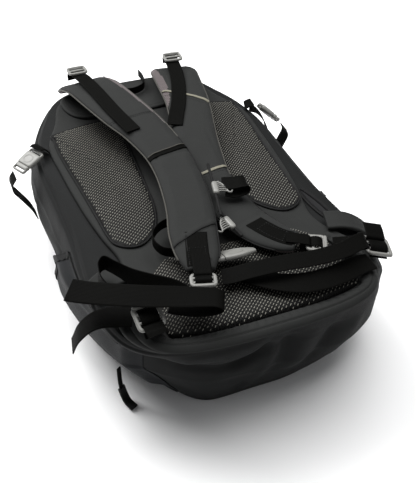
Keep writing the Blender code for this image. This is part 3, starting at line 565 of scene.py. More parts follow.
def rumple(points, size, seed=0.0):
    """Gentle unevenness of cloth from Blender's own noise."""
    return np.array([noise.noise(Vector(p) / size + Vector((seed, 2 * seed, 0))) for p in points])


# %% Folds of the bag cloth
BAG_FOLDS = [
    # the roll of cloth that sags below the lumbar seam, and the deep crease under it
    (0.0050, 0.0150, [(-0.112, -0.240, 0.124), (-0.075, -0.262, 0.120), (-0.030, -0.268, 0.120),
                      (0.000, -0.268, 0.128)]),
    (-0.0085, 0.0075, [(-0.104, -0.228, 0.101), (-0.066, -0.249, 0.095), (-0.030, -0.259, 0.095),
                       (-0.008, -0.262, 0.108), (0.002, -0.266, 0.126)]),
    (0.0040, 0.0090, [(0.006, -0.265, 0.118), (0.002, -0.256, 0.090), (-0.010, -0.243, 0.055),
                      (-0.016, -0.232, 0.020)]),
    (-0.0060, 0.0110, [(0.022, -0.266, 0.125), (0.020, -0.255, 0.090), (0.008, -0.245, 0.055)]),
    (0.0045, 0.0140, [(0.048, -0.268, 0.122), (0.040, -0.256, 0.085), (0.030, -0.245, 0.050)]),
    (-0.0050, 0.0100, [(0.085, -0.264, 0.118), (0.070, -0.256, 0.085), (0.052, -0.243, 0.045)]),
    (0.0040, 0.0130, [(0.118, -0.252, 0.112), (0.098, -0.245, 0.080), (0.078, -0.233, 0.035)]),
    (-0.0045, 0.0100, [(0.146, -0.225, 0.115), (0.128, -0.226, 0.080), (0.108, -0.215, 0.035)]),
    (-0.0030, 0.0120, [(-0.060, -0.246, 0.080), (-0.030, -0.250, 0.060), (-0.020, -0.235, 0.030)]),
    # left flank: slanting creases that start at the stretch pocket
    (-0.0045, 0.0070, [(-0.157, 0.117, 0.090), (-0.158, 0.060, 0.098), (-0.150, -0.005, 0.112),
                       (-0.139, -0.040, 0.125)]),
    (0.0035, 0.0100, [(-0.165, 0.100, 0.080), (-0.168, 0.050, 0.083), (-0.165, 0.000, 0.095),
                      (-0.150, -0.040, 0.112)]),
    (-0.0040, 0.0065, [(-0.150, -0.020, 0.122), (-0.160, -0.030, 0.100), (-0.168, -0.025, 0.075)]),
    (0.0040, 0.0070, [(-0.140, -0.040, 0.132), (-0.150, -0.030, 0.118), (-0.155, -0.010, 0.110)]),
    (-0.0030, 0.0080, [(-0.168, 0.150, 0.110), (-0.172, 0.110, 0.080), (-0.168, 0.070, 0.040)]),
    (0.0030, 0.0120, [(-0.150, 0.190, 0.100), (-0.165, 0.150, 0.060), (-0.168, 0.110, 0.030)]),
    (-0.0028, 0.0090, [(-0.140, 0.215, 0.110), (-0.150, 0.195, 0.070), (-0.148, 0.170, 0.030)]),
    # right flank: long soft creases towards the compression strap and the wing
    (-0.0035, 0.0080, [(0.140, 0.205, 0.125), (0.155, 0.165, 0.122), (0.166, 0.120, 0.120)]),
    (0.0030, 0.0110, [(0.172, 0.120, 0.100), (0.176, 0.060, 0.105), (0.172, 0.000, 0.112)]),
    (-0.0035, 0.0080, [(0.176, 0.100, 0.085), (0.180, 0.040, 0.090), (0.176, -0.040, 0.105), (0.168, -0.080, 0.118)]),
    (-0.0030, 0.0090, [(0.160, 0.170, 0.090), (0.172, 0.120, 0.060), (0.172, 0.080, 0.030)]),
    (0.0030, 0.0100, [(0.168, 0.060, 0.060), (0.176, 0.000, 0.050), (0.172, -0.050, 0.030)]),
    # far end
    (-0.0030, 0.0100, [(-0.090, 0.245, 0.120), (-0.060, 0.262, 0.095), (-0.020, 0.268, 0.070)]),
    (-0.0030, 0.0100, [(0.100, 0.240, 0.120), (0.070, 0.258, 0.090), (0.020, 0.264, 0.060)]),
]
SEAM_LEVEL = 0.1385     # the welt where the side cloth meets the back panel


def bag_relief(points):
    """How far the cloth stands out of the smooth body at each point."""
    z = points[:, 2]
    free = ramp(z, 0.004, 0.022) * (1 - ramp(z, 0.128, 0.139))
    out = folds(points, BAG_FOLDS) + 0.0012 * rumple(points, 0.055, 3.1) + 0.0006 * rumple(points, 0.022, 7.7)
    return out * free - 0.0012 * np.exp(-((z - SEAM_LEVEL) / 0.0016)**2)


FOOT, SHOULDER, BAG_TOP = 0.022, 0.130, 0.1447      # where the flank starts and ends, and the top face
heights = np.concatenate([np.linspace(0.0, FOOT, 10)[:-1], np.linspace(FOOT, SHOULDER, 60)[:-1],
                          np.linspace(SHOULDER, BAG_TOP, 14)])
rings = np.array([body_ring(z) for z in heights])
bag_rows = np.concatenate([rings, rings[:, :1]], axis=1)
du = np.gradient(bag_rows, axis=1)
du[:, 0] = du[:, -1] = bag_rows[:, 1] - bag_rows[:, -2]
dv = np.gradient(bag_rows, axis=0)
bag_normals = unit(np.cross(du, dv))
flat_points = bag_rows.reshape(-1, 3)
relief = bag_relief(flat_points).reshape(bag_rows.shape[:2])
relief[:, -1] = relief[:, 0]
bag_rows = bag_rows + bag_normals * relief[:, :, None]
girth = lengths(bag_rows[len(heights) // 2])
bag_uv = np.dstack([np.repeat(girth[None], len(heights), 0), np.repeat(heights[:, None], AROUND + 1, 1)])


def capped(ring, steps, z):
    """Rings at height z that shrink to the middle, so that the floor and the top are closed, and their UV."""
    centre = ring[:-1].mean(0)
    centre[2] = z
    shares = np.linspace(1, 0.02, steps)[1:]
    extra = np.array([centre + (ring - centre) * s for s in shares])
    extra[:, :, 2] = z
    return extra, extra[:, :, :2]


under, under_uv = capped(bag_rows[0], 10, 0.0)
over, over_uv = capped(bag_rows[-1], 8, BAG_TOP)
all_rows = np.concatenate([under[::-1], bag_rows, over])
all_uv = np.concatenate([under_uv[::-1], bag_uv, over_uv])
bm = grid_bmesh(all_rows, all_uv, (True, True))

# %% Openings and wall of the bag: faces inside a box are cut out, then the cloth gets its thickness
HOLES = [((-0.080, 0.20, 0.048), (0.080, 0.30, 0.118)),       # main opening, under the lid
         ((-0.080, 0.18, 0.0115), (0.080, 0.30, 0.0215)),     # tool pocket, under the main one
         ((0.130, -0.150, 0.1185), (0.200, -0.085, 0.1275))]  # wing pocket
gone = [f for f in bm.faces if any(all(a < c < b for a, c, b in zip(low, f.calc_center_median(), high))
                                   for low, high in HOLES)]
bmesh.ops.delete(bm, geom=gone, context="FACES")
bag = finish_piece("bag_cloth", bm, None, "pack_fabric", CHARCOAL, LINING)
wall = bag.modifiers.new("wall", "SOLIDIFY")
wall.thickness = 0.0016
wall.offset = -1
wall.material_offset = 1
wall.material_offset_rim = 1
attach(bag, "bag")
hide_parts("main_bag")
print("bag cloth", len(bag.data.polygons), "faces,", len(gone), "cut out")

# %% [markdown]
# ## Back panel, mesh pads and lumbar pad
# The back panel is thin foam under smooth cloth. Two long pads and a broad lumbar pad carry open spacer
# mesh. A pad is blown up by a short cloth simulation: pressure inside, edges held down by the seam. The
# pale threads of the mesh then lie on the blown shape in slanting rows.

# %% Outlines of the pads
Z0 = DEPTH + 0.0003
PANEL_TOP = Z0 + 0.006
PAD_LOW = PANEL_TOP + 0.0003
PANEL_LINE = smooth(mirrored([(0, -0.264), (0.095, -0.264), (0.128, -0.252), (0.147, -0.222), (0.143, -0.185),
                              (0.124, -0.150), (0.118, -0.118), (0.126, -0.075), (0.133, -0.02), (0.138, 0.06),
                              (0.138, 0.120), (0.118, 0.170), (0.100, 0.218), (0.06, 0.238), (0, 0.242)]),
                    200, closed=True)
LOBE_LINE = smooth([(0.047, 0.148), (0.124, 0.139), (0.1285, 0.127), (0.1290, 0.085), (0.1245, 0.02),
                    (0.1210, -0.04), (0.1180, -0.085), (0.1110, -0.100), (0.0960, -0.107), (0.0820, -0.103),
                    (0.0690, -0.090), (0.0600, -0.073), (0.0530, -0.045), (0.0500, -0.015), (0.0460, 0.04),
                    (0.0430, 0.10)][::-1], 160, closed=True)
LUMBAR_LINE = smooth(mirrored([(0, -0.2565), (0.06, -0.256), (0.100, -0.250), (0.108, -0.240), (0.108, -0.190),
                               (0.102, -0.172), (0.082, -0.148), (0.060, -0.142), (0, -0.141)]), 180, closed=True)


def shrunk(outline, by):
    """The closed outline, moved inwards."""
    tangent = np.roll(outline, -1, 0) - np.roll(outline, 1, 0)
    return outline - unit(np.column_stack([tangent[:, 1], -tangent[:, 0]])) * by


def crowned(outline, low, high, edge, steps=16, power=0.5):
    """Rings of a pad: a flat underside, a short upright edge and a crown that rounds over within edge."""
    centre = outline.mean(0)
    spans = np.linalg.norm(outline - centre, axis=1)[:, None]
    rings = []
    for share in np.linspace(0.03, 1, 6):
        rings.append(np.column_stack([centre + (outline - centre) * share, np.full(len(outline), low)]))
    for t in np.linspace(0, 1, steps):
        turn = t * math.pi / 2
        inset = edge * (1 - math.cos(turn))
        ring = centre + (outline - centre) * (1 - inset / spans)
        rings.append(np.column_stack([ring, np.full(len(outline), low + (high - low) * math.sin(turn)**power)]))
    last = rings[-1][:, :2]
    for share in np.linspace(1, 0.03, 22)[1:]:
        rings.append(np.column_stack([centre + (last - centre) * share, np.full(len(outline), high)]))
    rows = np.array(rings)
    return np.concatenate([rows, rows[:, :1]], axis=1)


def corners_of(mesh, what="co"):
    """The mesh's points, or with what="normal" its point normals, as an array."""
    return np.array([getattr(v, what)[:] for v in mesh.vertices])


def push(mesh, normals, by):
    """Moves each point along its normal and returns the new places."""
    co = corners_of(mesh) + normals * by[:, None]
    mesh.vertices.foreach_set("co", co.ravel())
    mesh.update()
    return co


def swell(obj, held, pressure, cap, steps=12, tension=15):
    """A short cloth simulation: pressure inside, held vertices stay sewn, and none moves more than cap."""
    mesh = obj.data
    start = corners_of(mesh)
    obj.vertex_groups.new(name="sewn").add(held, 1.0, "REPLACE")
    cloth = obj.modifiers.new("cloth", "CLOTH")
    cloth.settings.vertex_group_mass = "sewn"
    cloth.settings.use_pressure = True
    cloth.settings.uniform_pressure_force = pressure
    cloth.settings.effector_weights.gravity = 0
    cloth.settings.tension_stiffness = tension
    cloth.settings.bending_stiffness = 0.6
    cloth.collision_settings.use_collision = False
    scene = bpy.context.scene
    scene.frame_start, scene.frame_end = 1, steps
    for number in range(1, steps + 1):
        scene.frame_set(number)
    swollen = bpy.data.meshes.new_from_object(obj.evaluated_get(bpy.context.evaluated_depsgraph_get()))
    move = np.nan_to_num(corners_of(swollen) - start)
    bpy.data.meshes.remove(swollen)
    obj.modifiers.clear()
    obj.vertex_groups.clear()
    scene.frame_set(1)
    far = np.linalg.norm(move, axis=1, keepdims=True)
    move *= np.minimum(1, cap / np.maximum(far, 1e-9))
    mesh.vertices.foreach_set("co", (start + move).ravel())
    mesh.update()
    print(obj.name, "swelled by up to", round(float(far.max()) * 1000, 1), "mm, kept to", cap * 1000)


def dress(obj, body, materials, nodes=(), relief=None):
    """Gives a swollen pad its finish, a flat UV map in metres and, if wanted, wrinkles along its normals."""
    mesh = obj.data
    co = corners_of(mesh)
    if relief is not None:
        co = push(mesh, corners_of(mesh, "normal"), relief(co))
    layer = mesh.uv_layers[0] if mesh.uv_layers else mesh.uv_layers.new(name="UVMap")
    index = np.array([loop.vertex_index for loop in mesh.loops])
    layer.data.foreach_set("uv", co[index, :2].ravel())
    for material in materials:
        mesh.materials.append(material)
    mesh.shade_smooth()
    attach(obj, body)
    if nodes:
        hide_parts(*nodes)
    return obj


# %% Back panel
PANEL_RIDGES = [(0.0012, 0.0060, [(-0.030, 0.110), (-0.033, 0.020), (-0.040, -0.090)]),
                (0.0010, 0.0050, [(0.045, -0.060), (0.075, -0.120), (0.110, -0.132)]),
                (-0.0012, 0.0040, [(0.030, -0.128), (0.070, -0.122), (0.112, -0.118)]),
                (0.0010, 0.0060, [(-0.090, -0.118), (-0.060, -0.120), (-0.030, -0.126)])]


def panel_relief(co):
    """Ridges and creases of the panel's top face; its edge stays smooth."""
    top = ramp(co[:, 2], PANEL_TOP - 0.003, PANEL_TOP - 0.0005)
    ridges = folds(co, [(high, wide, [(*p, PANEL_TOP) for p in line]) for high, wide, line in PANEL_RIDGES])
    return top * (ridges + 0.0005 * rumple(co, 0.030, 1.7))


def plan_grid(rows):
    """Closed pad from its rings, with the plan view as its UV map."""
    return grid_bmesh(rows, rows[:, :, :2].copy(), (True, True))


panel = from_bmesh("back_panel_cloth", plan_grid(crowned(PANEL_LINE, Z0, PANEL_TOP, 0.008, steps=10)))
dress(panel, "bag", [PANEL_CLOTH], ["back_panel"], panel_relief)
print("back panel", len(panel.data.polygons), "faces")


# %% Rows of pale threads
SHORTEST_ROW = 0.006


def slanting_rows(outline, height_of, margin, spacing=3.1 * MM, slant=math.radians(42)):
    """Paths of the pale threads: parallel slanting lines, cut to the outline and dropped on the pad."""
    edge = shrunk(outline, margin)
    along = np.array([math.cos(slant), math.sin(slant)])
    aside = np.array([-along[1], along[0]])
    reach = edge @ aside
    paths = []
    for level in np.arange(reach.min() + spacing / 2, reach.max(), spacing):
        side = edge @ aside - level
        cuts = []
        for i in range(len(edge)):
            j = (i + 1) % len(edge)
            if side[i] * side[j] < 0:
                share = side[i] / (side[i] - side[j])
                cuts.append(float((edge[i] + share * (edge[j] - edge[i])) @ along))
        cuts.sort()
        for low, high in zip(cuts[::2], cuts[1::2]):
            if high - low < SHORTEST_ROW:
                continue
            stations = np.arange(math.ceil(low / THREAD_PITCH) * THREAD_PITCH, high, THREAD_PITCH)
            flat = stations[:, None] * along + level * aside
            hits = [height_of(p) for p in flat]
            if all(h is not None for h in hits) and len(hits) > 1:
                paths.append((np.array([h[0] for h in hits]), np.array([h[1] for h in hits])))
    return paths


def dropper(obj, lift):
    """Function that drops a plan point on the object from above: (point, normal)."""
    tree = BVHTree.FromPolygons([tuple(v.co) for v in obj.data.vertices],
                                [tuple(p.vertices) for p in obj.data.polygons])

    def drop(p):
        """Casts one ray straight down."""
        hit, normal, _, _ = tree.ray_cast(Vector((p[0], p[1], 0.4)), Vector((0, 0, -1)))
        if hit is None:
            return None
        return np.array(hit + normal * lift), np.array(normal)
    return drop


# %% Dark binding of a pad's edge
FOOT_OF_PAD = 0.0012      # height up to which a pad is sewn down
BINDING_RADIUS = (0.0015, 0.0014)      # across and up


def bound_edge(label, outline):
    """A tube of binding tape round the foot of a pad."""
    ring = shrunk(outline, -0.0006)
    around = np.concatenate([ring, ring[:1]])
    tube = []
    for p, q in zip(around, unit(np.gradient(around, axis=0))):
        out = np.array([q[1], -q[0], 0.0])
        middle = np.array([p[0], p[1], PAD_LOW + FOOT_OF_PAD])
        tube.append([middle + out * BINDING_RADIUS[0] * math.cos(a) + np.array([0, 0, BINDING_RADIUS[1]]) * math.sin(a)
                     for a in np.linspace(0, 2 * math.pi, 9)])
    finish_piece(f"pad_binding_{label}", grid_bmesh(np.array(tube), tube_uv(around, 0.008, 9)), "bag", "webbing",
                 BINDING)
    print("pad", label, "bound,", round(float(lengths(around)[-1]), 3), "m round")


# %% Mesh pads: the lobes have a bound edge, the lumbar pad ends under its border
LOBE_TALL, LUMBAR_TALL = 0.0055, 0.0108
LEFT_LOBE = np.column_stack([-LOBE_LINE[::-1, 0], LOBE_LINE[::-1, 1]])
PADS = [("left", LEFT_LOBE, LOBE_TALL, 0.009, 0.0020, "mesh_lobe_left"),      # outline, height, edge, margin, node
        ("right", LOBE_LINE, LOBE_TALL, 0.009, 0.0020, "mesh_lobe_right"),
        ("lumbar", LUMBAR_LINE, LUMBAR_TALL, 0.006, 0.0, "lumbar_pad")]
for label, outline, tall, edge, margin, node in PADS:
    pad = from_bmesh(f"mesh_pad_{label}", plan_grid(crowned(outline, PAD_LOW, PAD_LOW + tall * 0.72, edge, steps=12)))
    sewn = [i for i, v in enumerate(pad.data.vertices) if v.co.z < PAD_LOW + FOOT_OF_PAD]
    swell(pad, sewn, 4.0, 0.0022, steps=14, tension=12)
    dress(pad, "bag", [PAD_BASE], [node],
          lambda co: ramp(co[:, 2], PAD_LOW + 0.001, PAD_LOW + 0.004) * 0.0007 * rumple(co, 0.028, 5.0))
    threads = slanting_rows(outline, dropper(pad, 0.0001), margin)
    lay_beads(f"pale_threads_{label}", MESH_THREADS, threads, "bag", "mesh_fabric", THREAD)
    if label != "lumbar":
        bound_edge(label, outline)

# %% [markdown]
# ## Lumbar border and yoke
# The border is a stuffed roll of cloth round the foot of the lumbar pad. Its seams pull the cloth in, so
# small puckers run across it. The yoke is a flat padded plate that both shoulder straps start from.

# %% Lumbar border
BORDER_STEPS, BORDER_COLUMNS = 780, 26
OUTER = smooth([(-0.118, -0.163), (-0.131, -0.185), (-0.139, -0.215), (-0.134, -0.245), (-0.118, -0.264),
                (-0.088, -0.275), (-0.045, -0.280), (0, -0.281), (0.045, -0.280), (0.088, -0.275),
                (0.118, -0.264), (0.134, -0.245), (0.139, -0.215), (0.131, -0.185), (0.118, -0.163)], BORDER_STEPS)
INSIDE = smooth([(-0.1085, -0.169), (-0.1118, -0.182), (-0.1125, -0.200), (-0.1125, -0.240), (-0.1050, -0.2530),
                 (-0.0850, -0.2570), (-0.045, -0.2600), (0, -0.2602), (0.045, -0.2600), (0.0850, -0.2570),
                 (0.1050, -0.2530), (0.1125, -0.240), (0.1125, -0.200), (0.1118, -0.182), (0.1085, -0.169)],
                BORDER_STEPS)
run = lengths(OUTER)
pucker = 0.0008 * np.sin(run / 0.0017 + 1.3 * np.sin(run / 0.021)) + 0.0006 * np.sin(run / 0.0133)
border_rows = []
for i in range(BORDER_STEPS):
    row = []
    for t in np.linspace(0, 1, BORDER_COLUMNS):
        plan = INSIDE[i] + (OUTER[i] - INSIDE[i]) * t
        rise = math.sin(math.pi * (0.10 + 0.90 * t))**0.55
        crease = -0.0012 * math.exp(-((t - 0.62) / 0.05)**2)
        z = PAD_LOW + 0.0006 + 0.0066 * rise + crease + pucker[i] * math.exp(-((t - 0.16) / 0.20)**2) * (0 < t < 1)
        row.append((*plan, z))
    for t in (0.8, 0.5, 0.2):
        plan = INSIDE[i] + (OUTER[i] - INSIDE[i]) * t
        row.append((*plan, PAD_LOW))
    row.append(row[0])
    border_rows.append(row)
border_rows = np.array(border_rows)
border_uv = tube_uv(OUTER, 0.045, border_rows.shape[1])
border = finish_piece("lumbar_border_roll", grid_bmesh(border_rows, border_uv, (True, True)), "bag", "foam_fabric",
                      PANEL_CLOTH, nodes=["lumbar_border"])
seam = border_rows[18:-18:3, 16] + np.array([0, 0, 0.0004])
lay_beads("border_stitches", STITCHES, [(seam, (0, 0, 1))], "bag", "pack_fabric", SEWING)

# %% Yoke
YOKE_LINE = smooth(mirrored([(0, 0.158), (0.040, 0.160), (0.080, 0.166), (0.097, 0.190), (0.094, 0.222),
                             (0.05, 0.2365), (0, 0.2375)]), 120, closed=True)
yoke = finish_piece("yoke_pad", plan_grid(crowned(YOKE_LINE, PAD_LOW, PAD_LOW + 0.0040, 0.004, steps=8)), "bag",
                    "foam_fabric", PANEL_CLOTH, nodes=["harness_yoke"])
yoke_seam = np.column_stack([shrunk(YOKE_LINE, 0.006), np.full(len(YOKE_LINE), PAD_LOW + 0.0042)])
lay_beads("yoke_stitches", STITCHES, [(yoke_seam, (0, 0, 1))], "bag", "pack_fabric", SEWING)

# %% [markdown]
# ## Shoulder straps
# A strap is a pillow that follows a route in space. Its width changes along the way, its top is smooth
# cloth, its underside spacer lining, and a thin piping closes the edge. The same cloth simulation swells
# it. Seams, bands and stitches are laid on the swollen shape with rays cast from above.

# %% Routes and widths
LEFT = [(-0.067, 0.2350, 0.1612), (-0.066, 0.226, 0.1680), (-0.063, 0.208, 0.1790), (-0.058, 0.180, 0.1885),
        (-0.051, 0.144, 0.1920), (-0.038, 0.094, 0.1920), (-0.027, 0.057, 0.1900), (-0.0185, 0.008, 0.1875),
        (-0.0185, -0.034, 0.1860), (-0.024, -0.076, 0.1850), (-0.031, -0.109, 0.1840), (-0.041, -0.143, 0.1830),
        (-0.048, -0.174, 0.1820), (-0.0535, -0.196, 0.1810)]
LEFT_W = [0.060, 0.062, 0.066, 0.068, 0.068, 0.066, 0.060, 0.054, 0.052, 0.052, 0.052, 0.052, 0.046, 0.030]
RIGHT = [(0.072, 0.2350, 0.1612), (0.071, 0.226, 0.1665), (0.068, 0.208, 0.1730), (0.063, 0.177, 0.1765),
         (0.055, 0.123, 0.1780), (0.045, 0.081, 0.1770), (0.035, 0.042, 0.1750), (0.028, 0.0065, 0.1715),
         (0.023, -0.029, 0.1690), (0.0215, -0.066, 0.1685), (0.025, -0.104, 0.1685), (0.033, -0.136, 0.1695),
         (0.042, -0.158, 0.1710), (0.053, -0.173, 0.1712), (0.0645, -0.1815, 0.1708)]
RIGHT_W = [0.058, 0.060, 0.064, 0.062, 0.058, 0.056, 0.055, 0.054, 0.052, 0.052, 0.052, 0.050, 0.047, 0.040, 0.030]
STRAP_ROWS, TOP_COLUMNS, UNDER_COLUMNS = 190, 34, 18


def strap_frames(route, wide):
    """Stations of a strap: places, width directions, upward normals and widths."""
    points = np.array(route)
    t = np.gradient(points, axis=0)
    w = np.column_stack([t[:, 1], -t[:, 0], np.zeros(len(t))])
    w = unit(w) * np.sign(w[:, :1])
    both = smooth(np.column_stack([points, w, wide]), STRAP_ROWS)
    p, t, w, n = sweep_frames(both)
    if n[:, 2].mean() < 0:
        n = -n
    return p, w, n, both[:, 6]


def strap_rows(p, w, n, wide, seam_drop):
    """Ring of one station: the crowned top from the left edge to the right, then the flatter underside."""
    u = np.concatenate([np.linspace(-1, 1, TOP_COLUMNS), np.linspace(1, -1, UNDER_COLUMNS)[1:-1], [-1]])
    top = np.zeros(len(u), bool)
    top[:TOP_COLUMNS] = True
    u = np.sin(u * math.pi / 2) * 0.35 + u * 0.65
    round_over = np.clip(1 - np.abs(u), 0, 1)
    height = np.where(top, 0.0044 * np.clip(round_over / 0.22, 0, 1)**0.45,
                      -0.0042 * np.clip(round_over / 0.12, 0, 1)**0.5)
    rows = []
    for i in range(len(p)):
        drop = np.where(top, seam_drop(i / (len(p) - 1), u), 0)
        rows.append(p[i] + w[i] * (u * wide[i] / 2)[:, None] + n[i] * (height + drop)[:, None])
    return np.array(rows), u, top


# %% Seams pull the cover in, and the lining wraps up over an edge
def left_seams(share, u):
    """The lower cover of the left strap starts at a slanting seam and sits a little deeper."""
    seam = 0.886 - 0.040 * u
    step = -0.0011 * ramp(share, seam - 0.002, seam + 0.004)
    fold = 0.0008 * np.exp(-((share - seam + 0.008) / 0.006)**2)
    band_step = -0.0009 * np.exp(-((share - (0.570 - 0.008 * u)) / 0.004)**2)
    upper = -0.0006 * np.exp(-((share - (0.367 + 0.008 * u)) / 0.004)**2)
    return step + fold + band_step + upper


def right_seams(share, u):
    """Two slanting seams and one straight one near the foot of the right strap."""
    first = -0.0008 * np.exp(-((share - (0.257 + 0.045 * u)) / 0.005)**2)
    second = -0.0008 * np.exp(-((share - (0.637 - 0.019 * u)) / 0.005)**2)
    return first + second - 0.0006 * np.exp(-((share - 0.86) / 0.004)**2)


def wrapped(side, share, u):
    """Where the lining shows on top: a strip at the inner edge that narrows away from the yoke."""
    if side == "left":
        return (u > 1 - 0.30 * np.clip(1 - share / 0.46, 0, 1)**0.6) & (share < 0.46)
    bulge = np.clip(np.sin(np.clip(share / 0.30, 0, 1) * math.pi), 0, 1)**0.6
    return (u < -1 + 0.34 * bulge) & (share < 0.30)


# %% The two straps
STRAPS = {}
SEWN_REACH = 0.0011      # vertices this near an edge are held by its seam
for side, route, wide, seams, seed in (("left", LEFT, LEFT_W, left_seams, 9.0),
                                       ("right", RIGHT, RIGHT_W, right_seams, 4.0)):
    p, w, n, widths = strap_frames(route, wide)
    rows, u, top = strap_rows(p, w, n, widths, seams)
    s = lengths(p)
    around = np.concatenate([[0], np.cumsum(np.abs(np.diff(u)))])
    uv = np.dstack([np.repeat(s[:, None], len(u), 1), around[None] * widths[:, None] / 2])
    shares = np.linspace(0, 1, STRAP_ROWS)[:-1, None]
    middle_u = (u[:-1] + u[1:])[None] / 2
    underside = ~(top[:-1] & top[1:])[None]
    paint = np.where(underside | wrapped(side, shares, middle_u), 1, 0)
    strap = finish_piece(f"shoulder_strap_{side}_pad", grid_bmesh(rows, uv, (True, True), paint), None, "foam_fabric",
                         PANEL_CLOTH, UNDER_MESH)
    edges = np.concatenate([rows[:, 0], rows[:, TOP_COLUMNS - 1], rows[0], rows[-1]])
    finder = KDTree(len(edges))
    for i, q in enumerate(edges):
        finder.insert(q, i)
    finder.balance()
    held = [i for i, q in enumerate(corners_of(strap.data)) if finder.find(q)[2] < SEWN_REACH]
    swell(strap, held, 3.0, 0.0009)
    co = push(strap.data, corners_of(strap.data, "normal"), 0.0006 * rumple(corners_of(strap.data), 0.024, seed))
    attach(strap, f"strap_{side}")
    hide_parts(f"shoulder_strap_{side}")
    STRAPS[side] = dict(p=p, w=w, n=n, wide=widths, tree=BVHTree.FromPolygons(
        [tuple(x) for x in co], [tuple(f.vertices) for f in strap.data.polygons]))


# %% Places on a strap
RAY_HEIGHT = 0.03


def strap_at(side, key, at):
    """Value of a strap's table of places (p), width directions (w) or normals (n) at row at."""
    return np.stack([np.interp(at, np.arange(STRAP_ROWS), column) for column in STRAPS[side][key].T], axis=-1)


def on_strap(side, share, u, lift=0.0003):
    """Point on the strap's top at a share of its length and u from -1 (left edge) to 1, and its normal."""
    at = share * (STRAP_ROWS - 1)
    p, w, n = strap_at(side, "p", at), unit(strap_at(side, "w", at)), unit(strap_at(side, "n", at))
    wide = np.interp(at, np.arange(STRAP_ROWS), STRAPS[side]["wide"])
    start = p + w * u * wide / 2 + n * RAY_HEIGHT
    hit, _, _, _ = STRAPS[side]["tree"].ray_cast(Vector(start), Vector(-n))
    if hit is None:      # past the edge: the height of the cover there
        return start - n * (RAY_HEIGHT - 0.004), n
    return np.array(hit) + n * lift, n


def strap_line(side, stops, count=40, lift=0.0003):
    """Points and normals along straight runs between (share, u) stops."""
    fine = smooth([(a, b, 0) for a, b in stops], count)
    found = [on_strap(side, a, b, lift) for a, b in fine[:, :2]]
    return np.array([f[0] for f in found]), np.array([f[1] for f in found])


def strap_tape(name, side, stops, width, material, thick=0.0008, count=40, slot="webbing", lift=0.0004):
    """Flat tape sewn on the strap along (share, u) stops."""
    points, normals = strap_line(side, stops, count, lift)
    t = unit(np.gradient(points, axis=0))
    return band(name, np.column_stack([points, np.cross(normals, t)]), width, f"strap_{side}", count=count,
                thick=thick, material=material, slot=slot)


# %% Piping along the strap edges, grey at first and bound in black further down
PIPING_ROWS, PIPING_RADIUS, PIPING_GAP = 150, 0.0010, 0.0002
for side, outer in (("left", -1), ("right", 1)):
    for edge, sign in (("outer", outer), ("inner", -outer)):
        stations = np.linspace(0.03, 0.965, PIPING_ROWS) * (STRAP_ROWS - 1)
        wide = np.interp(stations, np.arange(STRAP_ROWS), STRAPS[side]["wide"])
        line = strap_at(side, "p", stations) + strap_at(side, "w", stations) * (sign * (wide / 2 + PIPING_GAP))[:, None]
        rings = []
        for q, t in zip(line, unit(np.gradient(line, axis=0))):
            a = np.cross(t, (0, 0, 1.0))
            a /= np.linalg.norm(a)
            b = np.cross(a, t)
            rings.append([q + (a * math.cos(k) + b * math.sin(k)) * PIPING_RADIUS
                          for k in np.linspace(0, 2 * math.pi, 9)])
        paint = np.zeros((PIPING_ROWS - 1, 8))
        if edge == "inner" or side == "right":
            paint[int((PIPING_ROWS - 1) * (0.5 if side == "left" else 0.66)):] = 1
        bm = grid_bmesh(np.array(rings), tube_uv(line, 0.006, 9), (True, True), paint)
        finish_piece(f"strap_piping_{side}_{edge}", bm, f"strap_{side}", "pack_fabric", PIPING, BINDING)
print("piping", PIPING_RADIUS * 2000, "mm thick")

# %% Bands and seams on the straps: stops are (share of the length, place across)
STRAP_TAPES = [      # name, stops, width, finish, thickness, lift
    ("left_strap_band", [(0.562, -0.97), (0.556, -0.4), (0.549, 0.4), (0.544, 0.96)], 0.0075, WEBBING, 0.0016, 0.0004),
    ("left_strap_band_line", [(0.5545, -0.97), (0.5485, -0.4), (0.5415, 0.4), (0.5365, 0.96)], 0.0015, PIPING,
     0.0012, 0.0014),
    ("right_strap_band_upper", [(0.205, -0.97), (0.234, -0.3), (0.265, 0.4), (0.290, 0.97)], 0.0042, CREAM,
     0.0010, 0.0004),
    ("right_strap_band_lower", [(0.646, -0.97), (0.627, 0), (0.608, 0.97)], 0.0042, CREAM, 0.0010, 0.0004),
    ("left_strap_lower_web", [(0.884, 0.08), (0.93, 0.0), (0.994, -0.12)], 0.0240, WEBBING, 0.0010, 0.0002),
    ("right_strap_lower_web", [(0.875, 0.0), (0.93, 0.0), (0.992, 0.0)], 0.0235, WEBBING, 0.0010, 0.0002),
    ("left_strap_slant_seam", [(0.923, -0.97), (0.903, -0.4), (0.870, 0.4), (0.848, 0.97)], 0.0012, BINDING,
     0.0008, 0.0004),
    ("left_strap_long_seam", [(0.893, -0.36), (0.94, -0.46), (0.990, -0.66)], 0.0008, BINDING, 0.0006, 0.0005),
]
for name, stops, width, material, thick, lift in STRAP_TAPES:
    strap_tape(name, name.split("_")[0], stops, width, material, thick, lift=lift)
print(len(STRAP_TAPES), "tapes on the straps")

